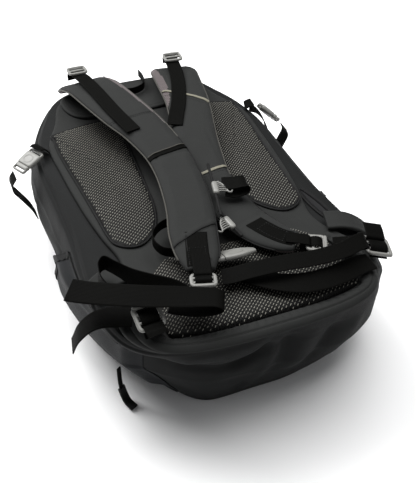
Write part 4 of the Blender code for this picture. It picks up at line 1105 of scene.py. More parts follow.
# %% Stitches on the straps
stitch_runs = {
    "left": [[(0.352, -0.95), (0.362, 0.0), (0.372, 0.95)], [(0.358, -0.95), (0.368, 0.0), (0.378, 0.95)],
             [(0.938, -0.36), (0.938, 0.34)], [(0.982, -0.60), (0.982, 0.36)], [(0.938, -0.36), (0.982, -0.60)],
             [(0.938, 0.34), (0.982, 0.36)]],
    "right": [[(0.235, -0.9), (0.262, -0.2), (0.290, 0.5), (0.305, 0.9)], [(0.662, -0.9), (0.644, 0), (0.626, 0.9)],
              [(0.905, -0.3), (0.905, 0.3)], [(0.970, -0.42), (0.970, 0.42)], [(0.905, -0.3), (0.970, -0.42)],
              [(0.905, 0.3), (0.970, 0.42)]],
}
ON_COVER, ON_WEB, WEB_STARTS = 0.0003, 0.0012, 0.86      # stitches past WEB_STARTS lie on the sewn webbing
for side, runs in stitch_runs.items():
    lines_on_strap = [strap_line(side, stops, 30, ON_WEB if stops[0][0] > WEB_STARTS else ON_COVER) for stops in runs]
    lay_beads(f"strap_stitches_{side}", STITCHES, lines_on_strap, f"strap_{side}", "pack_fabric",
              BLACK_SEWING if side == "left" else SEWING)

# %% [markdown]
# ## Webbing
# Flat webbing is modelled directly along its route: it lies on the pads, twists at the loops and hangs at
# its cut ends. A curve with a bevel could do it, but it can't be told which way the flat side faces, so each
# route here lists where the band runs and which way its width points.

# %% Routes of the webbing
def flat(route, across):
    """Route whose width points one way all along."""
    return [(*p, *across) for p in route]


WIDE, NARROW = 0.025, 0.020
band("lifter_web_left", flat([(-0.0705, 0.236, 0.1740), (-0.0705, 0.2365, 0.1830), (-0.0700, 0.230, 0.1888),
                              (-0.0690, 0.215, 0.1915), (-0.0665, 0.190, 0.1968), (-0.0620, 0.150, 0.2003),
                              (-0.0550, 0.100, 0.2000), (-0.0475, 0.065, 0.1985), (-0.0440, 0.050, 0.1975)],
                             (1, 0.18, 0)), NARROW, "strap_left", "load_lifter_left")
band("lifter_web_right", flat([(0.0720, 0.236, 0.1740), (0.0715, 0.2365, 0.1815), (0.0700, 0.230, 0.1862),
                               (0.0680, 0.215, 0.1868), (0.0640, 0.190, 0.1862), (0.0555, 0.157, 0.1855),
                               (0.0400, 0.115, 0.1850), (0.0240, 0.082, 0.1842), (0.0165, 0.066, 0.1825)],
                              (0.93, -0.36, 0)), NARROW, "strap_right", "load_lifter_right")
band("adjuster_web_left", [(-0.0640, -0.2310, 0.1700, 0.70, 0.60, 0.10), (-0.0750, -0.2190, 0.1705, 0.62, 0.62, 0.30),
                           (-0.0890, -0.2050, 0.1755, 0.40, 0.50, 0.80), (-0.1060, -0.1930, 0.1775, 0.25, 0.40, 0.90),
                           (-0.1220, -0.1790, 0.1790, 0.15, 0.25, 0.97), (-0.1335, -0.1610, 0.1790, 0.0, 0.1, 1),
                           (-0.1420, -0.1480, 0.1780, 0.1, 0.0, 1), (-0.1500, -0.1530, 0.1760, 0.1, 0.1, 1),
                           (-0.1520, -0.1680, 0.1720, 0.0, 0.1, 1), (-0.1480, -0.1840, 0.1700, 0.0, 0.1, 1)],
     NARROW, "bag", "adjuster_left", count=140)
band("adjuster_web_right", flat([(0.1020, -0.1990, 0.1700), (0.1130, -0.2030, 0.1710), (0.1240, -0.2080, 0.1725),
                                 (0.1330, -0.2120, 0.1760), (0.1310, -0.2140, 0.1800), (0.1220, -0.2160, 0.1820),
                                 (0.0970, -0.2230, 0.1835), (0.0620, -0.2235, 0.1840), (0.0290, -0.2185, 0.1835),
                                 (-0.0040, -0.2125, 0.1790), (-0.0230, -0.2080, 0.1740), (-0.0340, -0.2050, 0.1725)],
                                (0.12, 0.95, 0.22)), NARROW, "bag", "adjuster_right", count=150)
left_hip = [(-0.0975, -0.2265, 0.1772), (-0.0890, -0.2330, 0.1775), (-0.0740, -0.2425, 0.1790),
            (-0.0600, -0.2482, 0.1812), (-0.0520, -0.2512, 0.1855), (-0.0545, -0.2498, 0.1900),
            (-0.0640, -0.2455, 0.1922), (-0.0950, -0.2340, 0.1930), (-0.1280, -0.2200, 0.1925),
            (-0.1560, -0.2030, 0.1890), (-0.1760, -0.1870, 0.1840), (-0.1870, -0.1740, 0.1790)]
left_hip_across = [(0.50, 0.86, 0.10)] * 3 + [(0.46, 0.89, 0.05)] + [(0.42, 0.91, 0)] * 2 + [(0.40, 0.91, 0.05)]
left_hip_across += [(0.34, 0.90, 0.20)] + [(0.34, 0.84, 0.26)] * 4
band("hip_web_left", [(*p, *w) for p, w in zip(left_hip, left_hip_across)], WIDE, "bag", "hip_webbing_left",
     count=190)
band("hip_web_tail_left", flat([(-0.1350, -0.2180, 0.1640), (-0.1480, -0.2120, 0.1625), (-0.1600, -0.2040, 0.1580),
                                (-0.1730, -0.1980, 0.1500), (-0.1860, -0.1960, 0.1370), (-0.1940, -0.1960, 0.1210)],
                               (0.30, 0.95, 0.12)), WIDE, "bag", "hip_tail_left")
right_hip = [(0.1310, -0.2320, 0.1642), (0.1160, -0.2330, 0.1655), (0.0800, -0.2420, 0.1695),
             (0.0480, -0.2420, 0.1705), (0.0250, -0.2330, 0.1700), (0.0080, -0.2200, 0.1690),
             (-0.0060, -0.2060, 0.1675), (-0.0160, -0.1950, 0.1665)]
right_hip_across = [(0.25, 0.95, 0.0), (0.22, 0.95, 0.10), (0.0, 1, 0.25), (-0.12, 0.98, 0.20),
                    (0.35, 0.90, 0.05), (0.55, 0.80, 0), (0.65, 0.72, 0), (0.65, 0.72, 0)]
band("hip_web_right", [(*p, *w) for p, w in zip(right_hip, right_hip_across)], WIDE, "bag", "hip_webbing_right",
     count=130)
band("sternum_web", flat([(0.0195, -0.0780, 0.1885), (0.0235, -0.0800, 0.1900), (0.0320, -0.0840, 0.1915),
                          (0.0400, -0.0860, 0.1930), (0.0450, -0.0870, 0.1920), (0.0465, -0.0885, 0.1885),
                          (0.0440, -0.0895, 0.1850), (0.0380, -0.0900, 0.1835), (0.0300, -0.0890, 0.1828),
                          (0.0220, -0.0850, 0.1835)], (0.1, 1, 0.1)), NARROW, "sternum_left", "sternum_webbing")
band("sternum_web_tail", flat([(-0.0450, -0.0990, 0.1690), (-0.0620, -0.1010, 0.1690), (-0.0760, -0.1130, 0.1695),
                               (-0.0810, -0.1290, 0.1705), (-0.0760, -0.1450, 0.1712), (-0.0620, -0.1530, 0.1712)],
                              (0, 0, 1)), 0.0125, "bag", "sternum_tail")
band("haul_web", flat([(-0.0260, 0.2435, 0.1620), (-0.0265, 0.2260, 0.1625), (-0.0225, 0.2080, 0.1625),
                       (-0.0120, 0.1990, 0.1625), (0, 0.1965, 0.1625), (0.0120, 0.1990, 0.1625),
                       (0.0225, 0.2080, 0.1625), (0.0265, 0.2260, 0.1625), (0.0260, 0.2435, 0.1620)], (0, 0, 1)),
     0.011, "haul", "haul_loop", count=110)
band("lash_cord", flat([(-0.1458, -0.1900, 0.0580), (-0.1455, -0.1895, 0.0420), (-0.1445, -0.1895, 0.0260),
                        (-0.1420, -0.1905, 0.0110), (-0.1395, -0.1970, 0.0040), (-0.1350, -0.2070, 0.0030)],
                       (0.85, 0.50, 0)), 0.0055, "bag", "lash_strap", thick=0.0020)
band("lash_tab", flat([(-0.1442, -0.1896, 0.0235), (-0.1420, -0.1905, 0.0115), (-0.1396, -0.1970, 0.0045),
                       (-0.1350, -0.2070, 0.0032)], (0.85, 0.50, 0)), 0.0095, "bag", thick=0.0030, material=BINDING)
band("compression_web_left_upper", flat([(-0.1440, 0.1180, 0.1475), (-0.1480, 0.1150, 0.1545),
                                         (-0.1535, 0.1110, 0.1585), (-0.1570, 0.1085, 0.1587)],
                                        (-0.50, 1, 0)), NARROW, "bag",
     "compression_upper_left", count=30)
band("compression_web_right_upper", flat([(0.1450, 0.1290, 0.1477), (0.1490, 0.1275, 0.1512),
                                          (0.1560, 0.1268, 0.1530)], (0.2, 1, 0)), NARROW, "bag",
     "compression_upper_right", count=30)
band("compression_web_right_anchor", flat([(0.1500, 0.1230, 0.1470), (0.1580, 0.1180, 0.1440), (0.1650, 0.1130, 0.1360),
                                           (0.1700, 0.1080, 0.1240), (0.1720, 0.1040, 0.1100)], (0.2, 1, 0)),
     NARROW, "bag", count=30)
band("compression_web_left", flat([(-0.1905, 0.0890, 0.1390), (-0.1960, 0.0890, 0.1300), (-0.1955, 0.0910, 0.1180),
                                   (-0.1890, 0.0940, 0.1050), (-0.1815, 0.0980, 0.0900), (-0.1745, 0.1000, 0.0760),
                                   (-0.1690, 0.1010, 0.0600)], (0, 1, 0.05)), NARROW, "compression_plug_left",
     "compression_lower_left")
band("compression_web_right", flat([(0.1905, 0.0920, 0.1260), (0.1940, 0.0920, 0.1160), (0.1915, 0.0940, 0.1040),
                                    (0.1865, 0.0970, 0.0880), (0.1800, 0.0990, 0.0720), (0.1745, 0.1000, 0.0560)],
                                   (0, 1, 0.05)), NARROW, "compression_plug_right", "compression_lower_right")
print("webbing laid")

# %% Short hip wings: thin stuffed tabs of cloth with a bound edge
for side, s in (("left", -1), ("right", 1)):
    wing = [(s * 0.1235, -0.1450, 0.1560), (s * 0.1400, -0.1500, 0.1560), (s * 0.1540, -0.1560, 0.1530),
            (s * 0.1660, -0.1620, 0.1460)] + ([(0.1750, -0.1670, 0.1360)] if s > 0 else [])
    pad = band(f"hip_wing_pad_{side}", flat(wing, (0.20 * s, 1, 0)), list(np.linspace(0.031, 0.028, 8)), "bag",
               f"hip_wing_{side}", count=40, thick=0.0046, material=PANEL_CLOTH, slot="foam_fabric")
    print("wing", side, len(pad.data.polygons), "faces")

# %% [markdown]
# ## Buckles
# Moulded parts are built from a few rounded shapes that run into each other: bars with a soft section,
# closed frames swept round a rounded rectangle, and shells lofted from rounded rectangles. Boolean unions
# would join them truly, but they leave long thin faces that catch the light, and the overlap doesn't show.

# %% Rounded shapes
def seat(origin, along, normal):
    """Frame whose Y runs along, Z is the normal and X the width."""
    y = Vector(along).normalized()
    x = y.cross(Vector(normal)).normalized()
    z = x.cross(y)
    matrix = Matrix((x, y, z)).transposed().to_4x4()
    matrix.translation = Vector(origin)
    return matrix


def add_shell(bm, rings, uv, caps):
    """Closes the rings of points into a shell, turns its faces outwards and adds it to bm."""
    part = grid_bmesh(np.concatenate([rings, rings[:, :1]], axis=1), uv, caps)
    if part.calc_volume(signed=True) < 0:
        bmesh.ops.reverse_faces(part, faces=part.faces)
    spare = bpy.data.meshes.new("spare")
    part.to_mesh(spare)
    part.free()
    bm.from_mesh(spare)
    bpy.data.meshes.remove(spare)


def bar(bm, points, thick, high=None, closed=False, sides=10, power=0.7):
    """A bar swept along points, with a soft-cornered section; ends are rounded over."""
    high = high or thick
    points = np.array(points, float)
    if closed:
        t = unit(np.roll(points, -1, 0) - np.roll(points, 1, 0))
    else:
        t = unit(np.gradient(points, axis=0))
    z = np.array([0, 0, 1.0])
    rings = []
    for q, d in zip(points, t):
        a = np.cross(z, d)
        a = a / np.linalg.norm(a) if np.linalg.norm(a) > 1e-6 else np.array([1.0, 0, 0])
        b = np.cross(d, a)
        ring = []
        for k in np.linspace(0, 2 * math.pi, sides, endpoint=False):
            c, s = math.cos(k), math.sin(k)
            ring.append(q + a * (math.copysign(abs(c)**power, c) * thick / 2)
                        + b * (math.copysign(abs(s)**power, s) * high / 2))
        rings.append(np.array(ring))
    if closed:
        rings.append(rings[0])
    else:
        start = [points[0] + (rings[0] - points[0]) * s - t[0] * o * thick for s, o in ((0.45, 0.45), (0.85, 0.28))]
        ends = [points[-1] + (rings[-1] - points[-1]) * s + t[-1] * o * thick for s, o in ((0.85, 0.28), (0.45, 0.45))]
        rings = start + rings + ends
    around = np.arange(sides + 1) * MM      # plastic has no pattern that follows the UV, so a plain step will do
    uv = np.dstack([np.repeat(np.arange(len(rings))[:, None] * MM, sides + 1, 1),
                    np.repeat(around[None], len(rings), 0)])
    add_shell(bm, np.array(rings), uv, (not closed, not closed))


def rounded_rectangle(wide, long, radius, steps=6):
    """Points round a rounded rectangle in the XY plane."""
    points = []
    for cx, cy, start in ((1, 1, 0), (-1, 1, 90), (-1, -1, 180), (1, -1, 270)):
        for k in np.linspace(0, 90, steps):
            a = math.radians(start + k)
            points.append((cx * (wide / 2 - radius) + radius * math.cos(a),
                           cy * (long / 2 - radius) + radius * math.sin(a), 0.0))
    return np.array(points)


def loft(bm, sections):
    """Shell lofted along Y: sections are (y, wide, high, z) rounded rectangles in the XZ plane."""
    rings = []
    for y, wide, high, z in sections:
        ring = rounded_rectangle(wide, high, min(wide, high) * 0.42, 5)
        rings.append(np.column_stack([ring[:, 0], np.full(len(ring), y), ring[:, 1] + z]))
    rings = np.array(rings)
    around = np.arange(rings.shape[1] + 1) * MM
    uv = np.dstack([np.repeat(rings[:, :1, 1], len(around), 1), np.repeat(around[None], len(rings), 0)])
    add_shell(bm, rings, uv, (True, True))


def moulding(name, bm, place, body, nodes):
    """Sets a moulded part in its place and finishes it in grey acetal."""
    bmesh.ops.transform(bm, matrix=place, verts=bm.verts)
    if place.to_3x3().determinant() < 0:
        bmesh.ops.reverse_faces(bm, faces=bm.faces)
    bm.loops.layers.uv.verify()
    return finish_piece(name, bm, body, "hardware", ACETAL, nodes=nodes, angle=55)


# %% Ladder locks: a rounded frame, a gripping bar with teeth and a lifted front lip
FRAME_THICK = 0.0042


def ladder_lock(name, node, body, place, length, wide):
    """One lock; its origin is the first bar, which the tab goes round, and Y runs to the lip."""
    bm = bmesh.new()
    middle = length / 2 - 0.0016
    grip = middle - 0.15 * length
    half = wide / 2
    ring = rounded_rectangle(wide - FRAME_THICK, length - 0.0036, 0.0038) + np.array([0, middle, 0])
    bar(bm, ring, FRAME_THICK, 0.0034, closed=True)
    for y, high in ((grip, 0.0030), (middle + 0.17 * length, 0.0026)):
        bar(bm, [(-half + 0.003, y, 0), (-wide / 6, y, 0.0004), (wide / 6, y, 0.0004), (half - 0.003, y, 0)],
            0.0030, high)
    lip = [(x, length - 0.0030 + 0.0006 * math.cos(x / wide * math.pi), 0.0010)
           for x in np.linspace(-half + 0.004, half - 0.004, 9)]
    bar(bm, lip, 0.0040, 0.0040)
    for x in np.linspace(-wide / 4, wide / 4, 5):
        bar(bm, [(x, grip - 0.0012, 0.0014), (x, grip + 0.0012, 0.0018)], 0.0012)
    moulding(name, bm, place, body, [node])


def on_lock(place, loop):
    """Route of webbing from (y, z) points in a lock's own frame; its width runs along the lock's bars."""
    side = place.to_3x3() @ Vector((1, 0, 0))
    return [(*(place @ Vector((0, y, z))), *side) for y, z in loop]


def tab(name, node, body, place, wide, tail):
    """The webbing tab that holds a lock's first bar."""
    loop = [(-tail, 0.0062), (-tail * 0.5, 0.0058), (-0.003, 0.0046), (0.0020, 0.0036), (0.0036, 0),
            (0.0020, -0.0036), (-0.003, -0.0046), (-0.0075, -0.0054)]
    band(name, on_lock(place, loop), wide, body, node, count=60)


def threaded(name, body, place, length, wide):
    """Webbing that comes up through a lock, over its two inner bars and down again in front."""
    mid = length / 2 - 0.0016
    loop = [(0.46, -0.0052), (0.34, -0.0034), (0.26, 0.0006), (0.12, 0.0032), (-0.06, 0.0034), (-0.22, 0.0022),
            (-0.29, -0.0012), (-0.22, -0.0040), (0, -0.0052)]
    band(name, on_lock(place, [(mid + y * length, z) for y, z in loop]), wide, body, count=70)


# %% The four locks: pivot, direction, normal, tail of the tab and the body that holds it
SEATS = {
    ("strap", "left"): ((-0.0550, -0.2040, 0.1818), (-0.28, -1, -0.04), (0, -0.04, 1), 0.024, "strap_left"),
    ("strap", "right"): ((0.0755, -0.1870, 0.1712), (0.90, -0.43, 0), (0, 0, 1), 0.024, "strap_right"),
    ("hip", "left"): ((-0.1225, -0.2440, 0.1700), (-0.08, 0.82, 0.42), (0, -0.42, 0.82), 0.010, "bag"),
    ("hip", "right"): ((0.1570, -0.1960, 0.1600), (-0.25, -0.95, -0.05), (0.25, -0.1, 1), 0.018, "bag"),
}
LOCK_SIZES = {("strap", "left"): (0.0185, 0.0285), ("strap", "right"): (0.0225, 0.0265),      # length, width
              ("hip", "left"): (0.0270, 0.0300), ("hip", "right"): (0.0290, 0.0330)}
for (owner, side), (pivot, along, normal, tail, holder) in SEATS.items():
    length, wide = LOCK_SIZES[owner, side]
    lock, place = f"{owner}_lock_{side}", seat(pivot, along, normal)
    ladder_lock(f"ladder_lock_{owner}_{side}", lock, lock, place, length, wide)
    threaded(f"lock_web_{owner}_{side}", lock, place, length, wide - 0.0110)
    tab(f"lock_tab_{owner}_{side}", f"{owner}_tab_{side}", holder, place, wide - 0.0094, tail)
    print(lock, length * 1000, "x", wide * 1000, "mm")


# %% Load lifter buckles
for side, origin, along, normal in (("left", (-0.0694, 0.2195, 0.1950), (0.02, -1, 0.10), (0, 0.10, 1)),
                                    ("right", (0.0710, 0.2215, 0.1900), (-0.09, -1, 0), (0, 0, 1))):
    bm = bmesh.new()
    bar(bm, rounded_rectangle(0.0232, 0.0165, 0.0030), 0.0036, 0.0036, closed=True)
    bar(bm, [(-0.0105, 0, 0.0003), (0, 0, 0.0006), (0.0105, 0, 0.0003)], 0.0032, 0.0030)
    bar(bm, [(-0.0105, -0.0085, 0.0012), (0, -0.0089, 0.0014), (0.0105, -0.0085, 0.0012)], 0.0034, 0.0034)
    moulding(f"lifter_tri_glide_{side}", bm, seat(origin, along, normal), f"strap_{side}", [f"lifter_buckle_{side}"])


# %% Side release buckles: sections are (place along, width, height) as shares of the socket's sizes
TAPERED_BACK = [(-0.02, 0.34, 0.42), (0.02, 0.44, 0.60), (0.15, 0.62, 0.84), (0.32, 0.82, 0.96), (0.48, 0.97, 1.0)]
STRAIGHT_BACK = [(0.20, 0.92, 0.80), (0.24, 1.0, 0.98), (0.34, 1.0, 1.0)]
MOUTH = [(0.60, 1.0, 1.0), (0.88, 0.98, 1.0), (0.98, 0.94, 0.94),
         (1.00, 0.88, 0.84), (0.99, 0.80, 0.66), (0.85, 0.78, 0.60), (0.55, 0.76, 0.56)]


def side_release(prefix, place, wide, length, holder, plug_body, tapered=False):
    """Socket with a hollow mouth and an oval relief, and a plug with two springy prongs and a guide."""
    thick = wide * 0.27
    bm = bmesh.new()
    shell = (TAPERED_BACK if tapered else STRAIGHT_BACK) + MOUTH
    loft(bm, [(y * length, w * wide, h * thick, 0) for y, w, h in shell])
    if not tapered:
        bar(bm, rounded_rectangle(wide * 0.88, length * 0.24, 0.0020) + np.array([0, length * 0.13, 0]), 0.0026,
            thick * 0.62, closed=True)
    oval = [(wide * 0.26 * math.cos(a), length * (0.62 + 0.24 * math.sin(a)), thick * 0.50)
            for a in np.linspace(0, 2 * math.pi, 28, endpoint=False)]
    bar(bm, oval, 0.0011, 0.0007, closed=True)
    moulding(f"{prefix}_socket_shell", bm, place, holder, [f"{prefix}_socket"])
    bm = bmesh.new()
    loft(bm, [(length * 1.025, wide * 0.90, thick * 0.84, 0), (length * 1.05, wide * 0.94, thick * 0.96, 0),
              (length * 1.16, wide * 0.90, thick * 0.96, 0), (length * 1.22, wide * 0.84, thick * 0.80, 0)])
    bar(bm, rounded_rectangle(wide * 0.80, length * 0.22, 0.0020) + np.array([0, length * 1.30, 0]), 0.0026,
        thick * 0.60, closed=True)
    for s in (-1, 1):
        prong = [(s * wide * x, length * y, 0)
                 for x, y in ((0.27, 1.05), (0.26, 0.85), (0.29, 0.66), (0.31, 0.56), (0.24, 0.49))]
        bar(bm, smooth(prong, 18), wide * 0.085, thick * 0.38)
    bar(bm, [(0, length * 1.05, 0), (0, length * 0.85, 0), (0, length * 0.66, 0)], wide * 0.14, thick * 0.36)
    moulding(f"{prefix}_plug_prongs", bm, place, plug_body, [f"{prefix}_plug"])


side_release("hip_buckle", seat((0.0150, -0.1800, 0.1740), (-1, 0.06, 0), (0, 0.42, 0.91)), 0.022, 0.036,
             "bag", "hip_plug", tapered=True)
side_release("compression_left", seat((-0.1550, 0.1090, 0.1530), (-0.84, -0.45, -0.30), (-0.30, -0.15, 1)),
             0.024, 0.025, "bag", "compression_plug_left")
side_release("compression_right", seat((0.1625, 0.1200, 0.1510), (0.62, -0.60, -0.50), (0.75, 0.25, 0.60)),
             0.024, 0.025, "bag", "compression_plug_right")
print("release buckles made")


# %% Sternum sliders: a clip that runs on the rail, with a curved comb and a hook at its end
RAILS = {"left": ((0.0200, -0.036, 0.1880), (-0.0015, -0.126, 0.1860)),
         "right": ((0.0030, -0.112, 0.1790), (0.0085, -0.160, 0.1800))}
for side, (a, b) in RAILS.items():
    a, b = Vector(a), Vector(b)
    down = (b - a).normalized()
    out = down.cross(Vector((0, 0, 1))).normalized()
    out = out if (out.x > 0) == (side == "left") else -out
    lift = out.cross(down).normalized()
    lift = lift if lift.z > 0 else -lift
    place = Matrix((out, down, lift)).transposed().to_4x4()
    place.translation = a.lerp(b, 0.5)
    bm = bmesh.new()
    bar(bm, [(0.0012, y, 0.0008) for y in np.linspace(-0.0072, 0.0072, 12)], 0.0074, 0.0062, sides=14, power=0.8)
    spine = smooth([(0.0046, -0.0096, 0.0012), (0.0082, -0.0072, 0.0014), (0.0118, -0.0010, 0.0014),
                    (0.0138, 0.0052, 0.0014), (0.0150, 0.0092, 0.0014), (0.0176, 0.0104, 0.0014),
                    (0.0196, 0.0078, 0.0014)], 30)
    bar(bm, spine, 0.0017, 0.0024)
    bar(bm, [(0.0046, -0.0096, 0.0012), (0.0064, -0.0112, 0.0012)], 0.0012, 0.0016)
    for y in np.linspace(-0.0060, 0.0072, 5):
        far = np.interp(y + 0.0012, [-0.0072, -0.0010, 0.0052, 0.0092], [0.0082, 0.0118, 0.0138, 0.0150])
        tooth = [(0.0030, y, 0.0008), (0.0070, y - 0.0002, 0.0018), (far, y + 0.0012, 0.0014)]
        bar(bm, smooth(tooth, 8), 0.0014, 0.0020)
    moulding(f"sternum_slider_{side}", bm, place, f"sternum_{side}", [f"sternum_clip_{side}"])
    bm = bmesh.new()
    bar(bm, [tuple(a.lerp(b, k)) for k in np.linspace(0, 1, 12)], 0.0034, 0.0034)
    finish_piece(f"sternum_rail_cord_{side}", bm, f"strap_{side}", "webbing", BINDING, nodes=[f"sternum_rail_{side}"])
print("buckles made")

# %% [markdown]
# ## Pockets
# The side pockets are stretch cloth stood off from the body, gathered at the mouth by an elastic hem. They
# could be shrink-wrapped on the bag, but a sheet made from the body's own outline keeps an even distance
# and an even grid, so its weave doesn't smear.

# %% Pieces that follow the body
def ring_part(z, offset, wanted, count):
    """The stretch of the body's outline where wanted(x, y) holds, resampled evenly."""
    ring = body_ring(z, offset)
    inside = wanted(ring[:, 0], ring[:, 1])
    first = next(i for i in range(len(ring)) if inside[i] and not inside[i - 1])
    line = []
    while inside[first % len(ring)] and len(line) < len(ring):
        line.append(ring[first % len(ring)])
        first += 1
    line = np.array(line)
    at = np.linspace(0, lengths(line)[-1], count)
    return np.column_stack([np.interp(at, lengths(line), line[:, k]) for k in range(3)])


def outward_normals(line):
    """Level normals of a line on the body, turned away from the pack's middle."""
    t = np.gradient(line[:, :2], axis=0)
    normal = unit(np.column_stack([t[:, 1], -t[:, 0]]))
    normal = normal * np.sign(np.sum(normal * line[:, :2], axis=1))[:, None]
    return np.column_stack([normal, np.zeros(len(t))])


def sheet_wall(obj, thick, offset, body, node):
    """Gives a sheet its thickness with a live Solidify, then lets it ride."""
    wall = obj.modifiers.new("cloth thickness", "SOLIDIFY")
    wall.thickness = thick
    wall.offset = offset
    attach(obj, body)
    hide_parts(node)


def cloth_sheet(name, rows, body, slot, material, node, thick):
    """A sheet of cloth from rows of points, its outer face on them and its UV in metres."""
    uv = np.dstack([np.repeat(lengths(rows[len(rows) // 2])[None], len(rows), 0),
                    np.repeat(lengths(rows[:, rows.shape[1] // 2])[:, None], rows.shape[1], 1)])
    bm = grid_bmesh(rows, uv)
    outward = sum(f.normal.dot(Vector((*f.calc_center_median()[:2], 0))) for f in bm.faces)
    if outward < 0:
        bmesh.ops.reverse_faces(bm, faces=bm.faces)
    sheet_wall(finish_piece(name, bm, None, slot, material), thick, -1, body, node)
    print(name, rows.shape[0], "x", rows.shape[1], "points")


# %% Side pockets with elastic hems
POCKET_COLUMNS = 90
UPRIGHT = (0, 0, 1.0)
for side, s in (("left", -1), ("right", 1)):
    rows, rim = [], []
    for z in np.linspace(0.018, 0.126, 46):
        mouth = -0.030 - 1.15 * max(0.0, z - 0.100)
        line = ring_part(z, 0.0, lambda x, y: (s * x > 0.06) & (y > -0.214) & (y < mouth), POCKET_COLUMNS)
        if line[0, 1] > line[-1, 1]:
            line = line[::-1]
        normal = outward_normals(line)
        along = np.linspace(0, 1, POCKET_COLUMNS)
        slack = ramp(z, 0.018, 0.034) * (1 - ramp(z, 0.108, 0.126)) * ramp(along, 0, 0.12)
        slack = slack * (1 - 0.22 * ramp(along, 0.80, 1.0))
        gathers = 0.0011 * np.sin(z / 0.0042 + 3 * along) * ramp(along, 0.55, 1.0)
        waves = gathers + 0.0016 * rumple(line, 0.035, 2.2)
        rows.append(line + normal * (0.0010 + 0.0088 * slack + waves * slack)[:, None])
        rim.append(rows[-1][-4] + normal[-4] * 0.0005)
    rows, rim = np.array(rows), np.array(rim)
    cloth_sheet(f"stretch_pocket_{side}", rows, "bag", "stretch_fabric", STRETCH, f"side_pocket_{side}", 0.0010)
    towards = rows[:, -1] - rows[:, -8]
    band(f"pocket_hem_{side}", np.column_stack([rim, towards]), 0.0085, "bag", count=90, thick=0.0018, material=BINDING)
    for end, place in ((0, "low"), (-1, "high")):
        edge = np.column_stack([rows[end], np.tile(UPRIGHT, (POCKET_COLUMNS, 1))])
        band(f"pocket_edge_{side}_{place}", edge, 0.0045, "bag", count=90, thick=0.0012, material=BINDING)

# %% [markdown]
# ## Lid and zips
# The lid closes the main opening at the far end. It follows the body's own outline at a small distance, so
# it sits on the bag everywhere and can swing as one sheet. Zip teeth are beads again, but square ones.

# %% Lid of the main opening
LID_COLUMNS, LID_LIFT = 70, 0.0027
rows = []
for z in np.linspace(0.0425, 0.1240, 34):
    line = ring_part(z, 0.0, lambda x, y: (x > -0.086) & (x < 0.062) & (y > 0.18), LID_COLUMNS)
    rows.append(line + outward_normals(line) * (LID_LIFT + 0.0005 * rumple(line, 0.03, 6.0))[:, None])
rows = np.array(rows)
cloth_sheet("lid_cloth", rows, "lid", "pack_fabric", CHARCOAL, "top_lid", 0.0018)
hem = [rows[1, 2:-2], rows[-2, 2:-2], rows[1:-1, 2], rows[1:-1, -3]]
lay_beads("lid_stitches", STITCHES, [(h + unit(h * (1, 1, 0)) * 0.0003, unit(h * (1, 1, 0))) for h in hem], "lid",
          "pack_fabric", SEWING)


# %% Front zip: tape, teeth and two sliders
def beside_zip(x, y):
    """Stretch of the outline that the front zip takes."""
    return (abs(x) < 0.099) & (y > 0.15)


tape_line = ring_part(0.0353, 0.0013, beside_zip, 120)
tape_across = ring_part(0.0410, 0.0013, beside_zip, 120) - ring_part(0.0296, 0.0013, beside_zip, 120)
band("front_zip_tape", np.column_stack([tape_line, tape_across]), 0.0115, "bag", "main_zip_tape", count=120,
     thick=0.0009, material=BINDING, slot="zip")
outward = outward_normals(tape_line)
lay_beads("front_zip_teeth", TEETH, [(tape_line[2:-2] + outward[2:-2] * 0.0008, outward[2:-2])], "bag", "zip",
          BLACK_PLASTIC)
PULL_Y = 0.2588
for side, x in (("left", -0.034), ("right", 0.034)):
    bm = bmesh.new()
    bar(bm, [(x, 0.2586, z) for z in np.linspace(0.0328, 0.0382, 6)], 0.0088, 0.0034, sides=14)
    bar(bm, [(x, 0.2606, z) for z in np.linspace(0.0340, 0.0372, 4)], 0.0024, 0.0018)
    ring = [(x + 0.0030 * math.cos(a), PULL_Y + 0.0002, 0.0300 + 0.0042 * math.sin(a))
            for a in np.linspace(0, 2 * math.pi, 18, endpoint=False)]
    bar(bm, ring, 0.0012, 0.0012, closed=True, sides=8)
    bar(bm, [(x, PULL_Y, z) for z in np.linspace(0.0262, 0.0124, 8)], 0.0046, 0.0016)
    finish_piece(f"zip_pull_{side}", bm, f"zip_{side}", "zip_metal", ZINC, nodes=[f"main_zip_slider_{side}"], angle=50)

# %% [markdown]
# The lid's zip is left a hand's width open at one end. A raw edge of cloth would look torn, so tape and teeth
# line both sides of the gap: one side rides on the lid, the other stays on the bag.

# %% Both sides of the open zip
heights = np.linspace(0.0445, 0.1220, 40)
across = unit(np.array([1.0, -0.16, 0.0]))
for label, x, lift, into in (("lid", 0.0600, 0.0046, 1), ("bag", 0.0858, 0.0012, -1)):
    edge = []
    for z in heights:
        line = ring_part(z, lift, lambda x, y: (x > 0.03) & (x < 0.12) & (y > 0.15), 40)
        line = line[np.argsort(line[:, 0])]
        edge.append((x, np.interp(x, line[:, 0], line[:, 1]), z))
    edge = np.array(edge)
    band(f"main_zip_gap_tape_{label}", np.column_stack([edge, np.tile(across, (len(edge), 1))]), 0.0070, label,
         count=40, thick=0.0009, material=BINDING, slot="zip")
    teeth = edge + across * into * 0.0032 + np.array([0.0, 0.0008, 0.0])
    lay_beads(f"main_zip_gap_teeth_{label}", TEETH, [(teeth, (0.16, 1, 0))], label, "zip", BLACK_PLASTIC,
              Width=1.8 * MM)

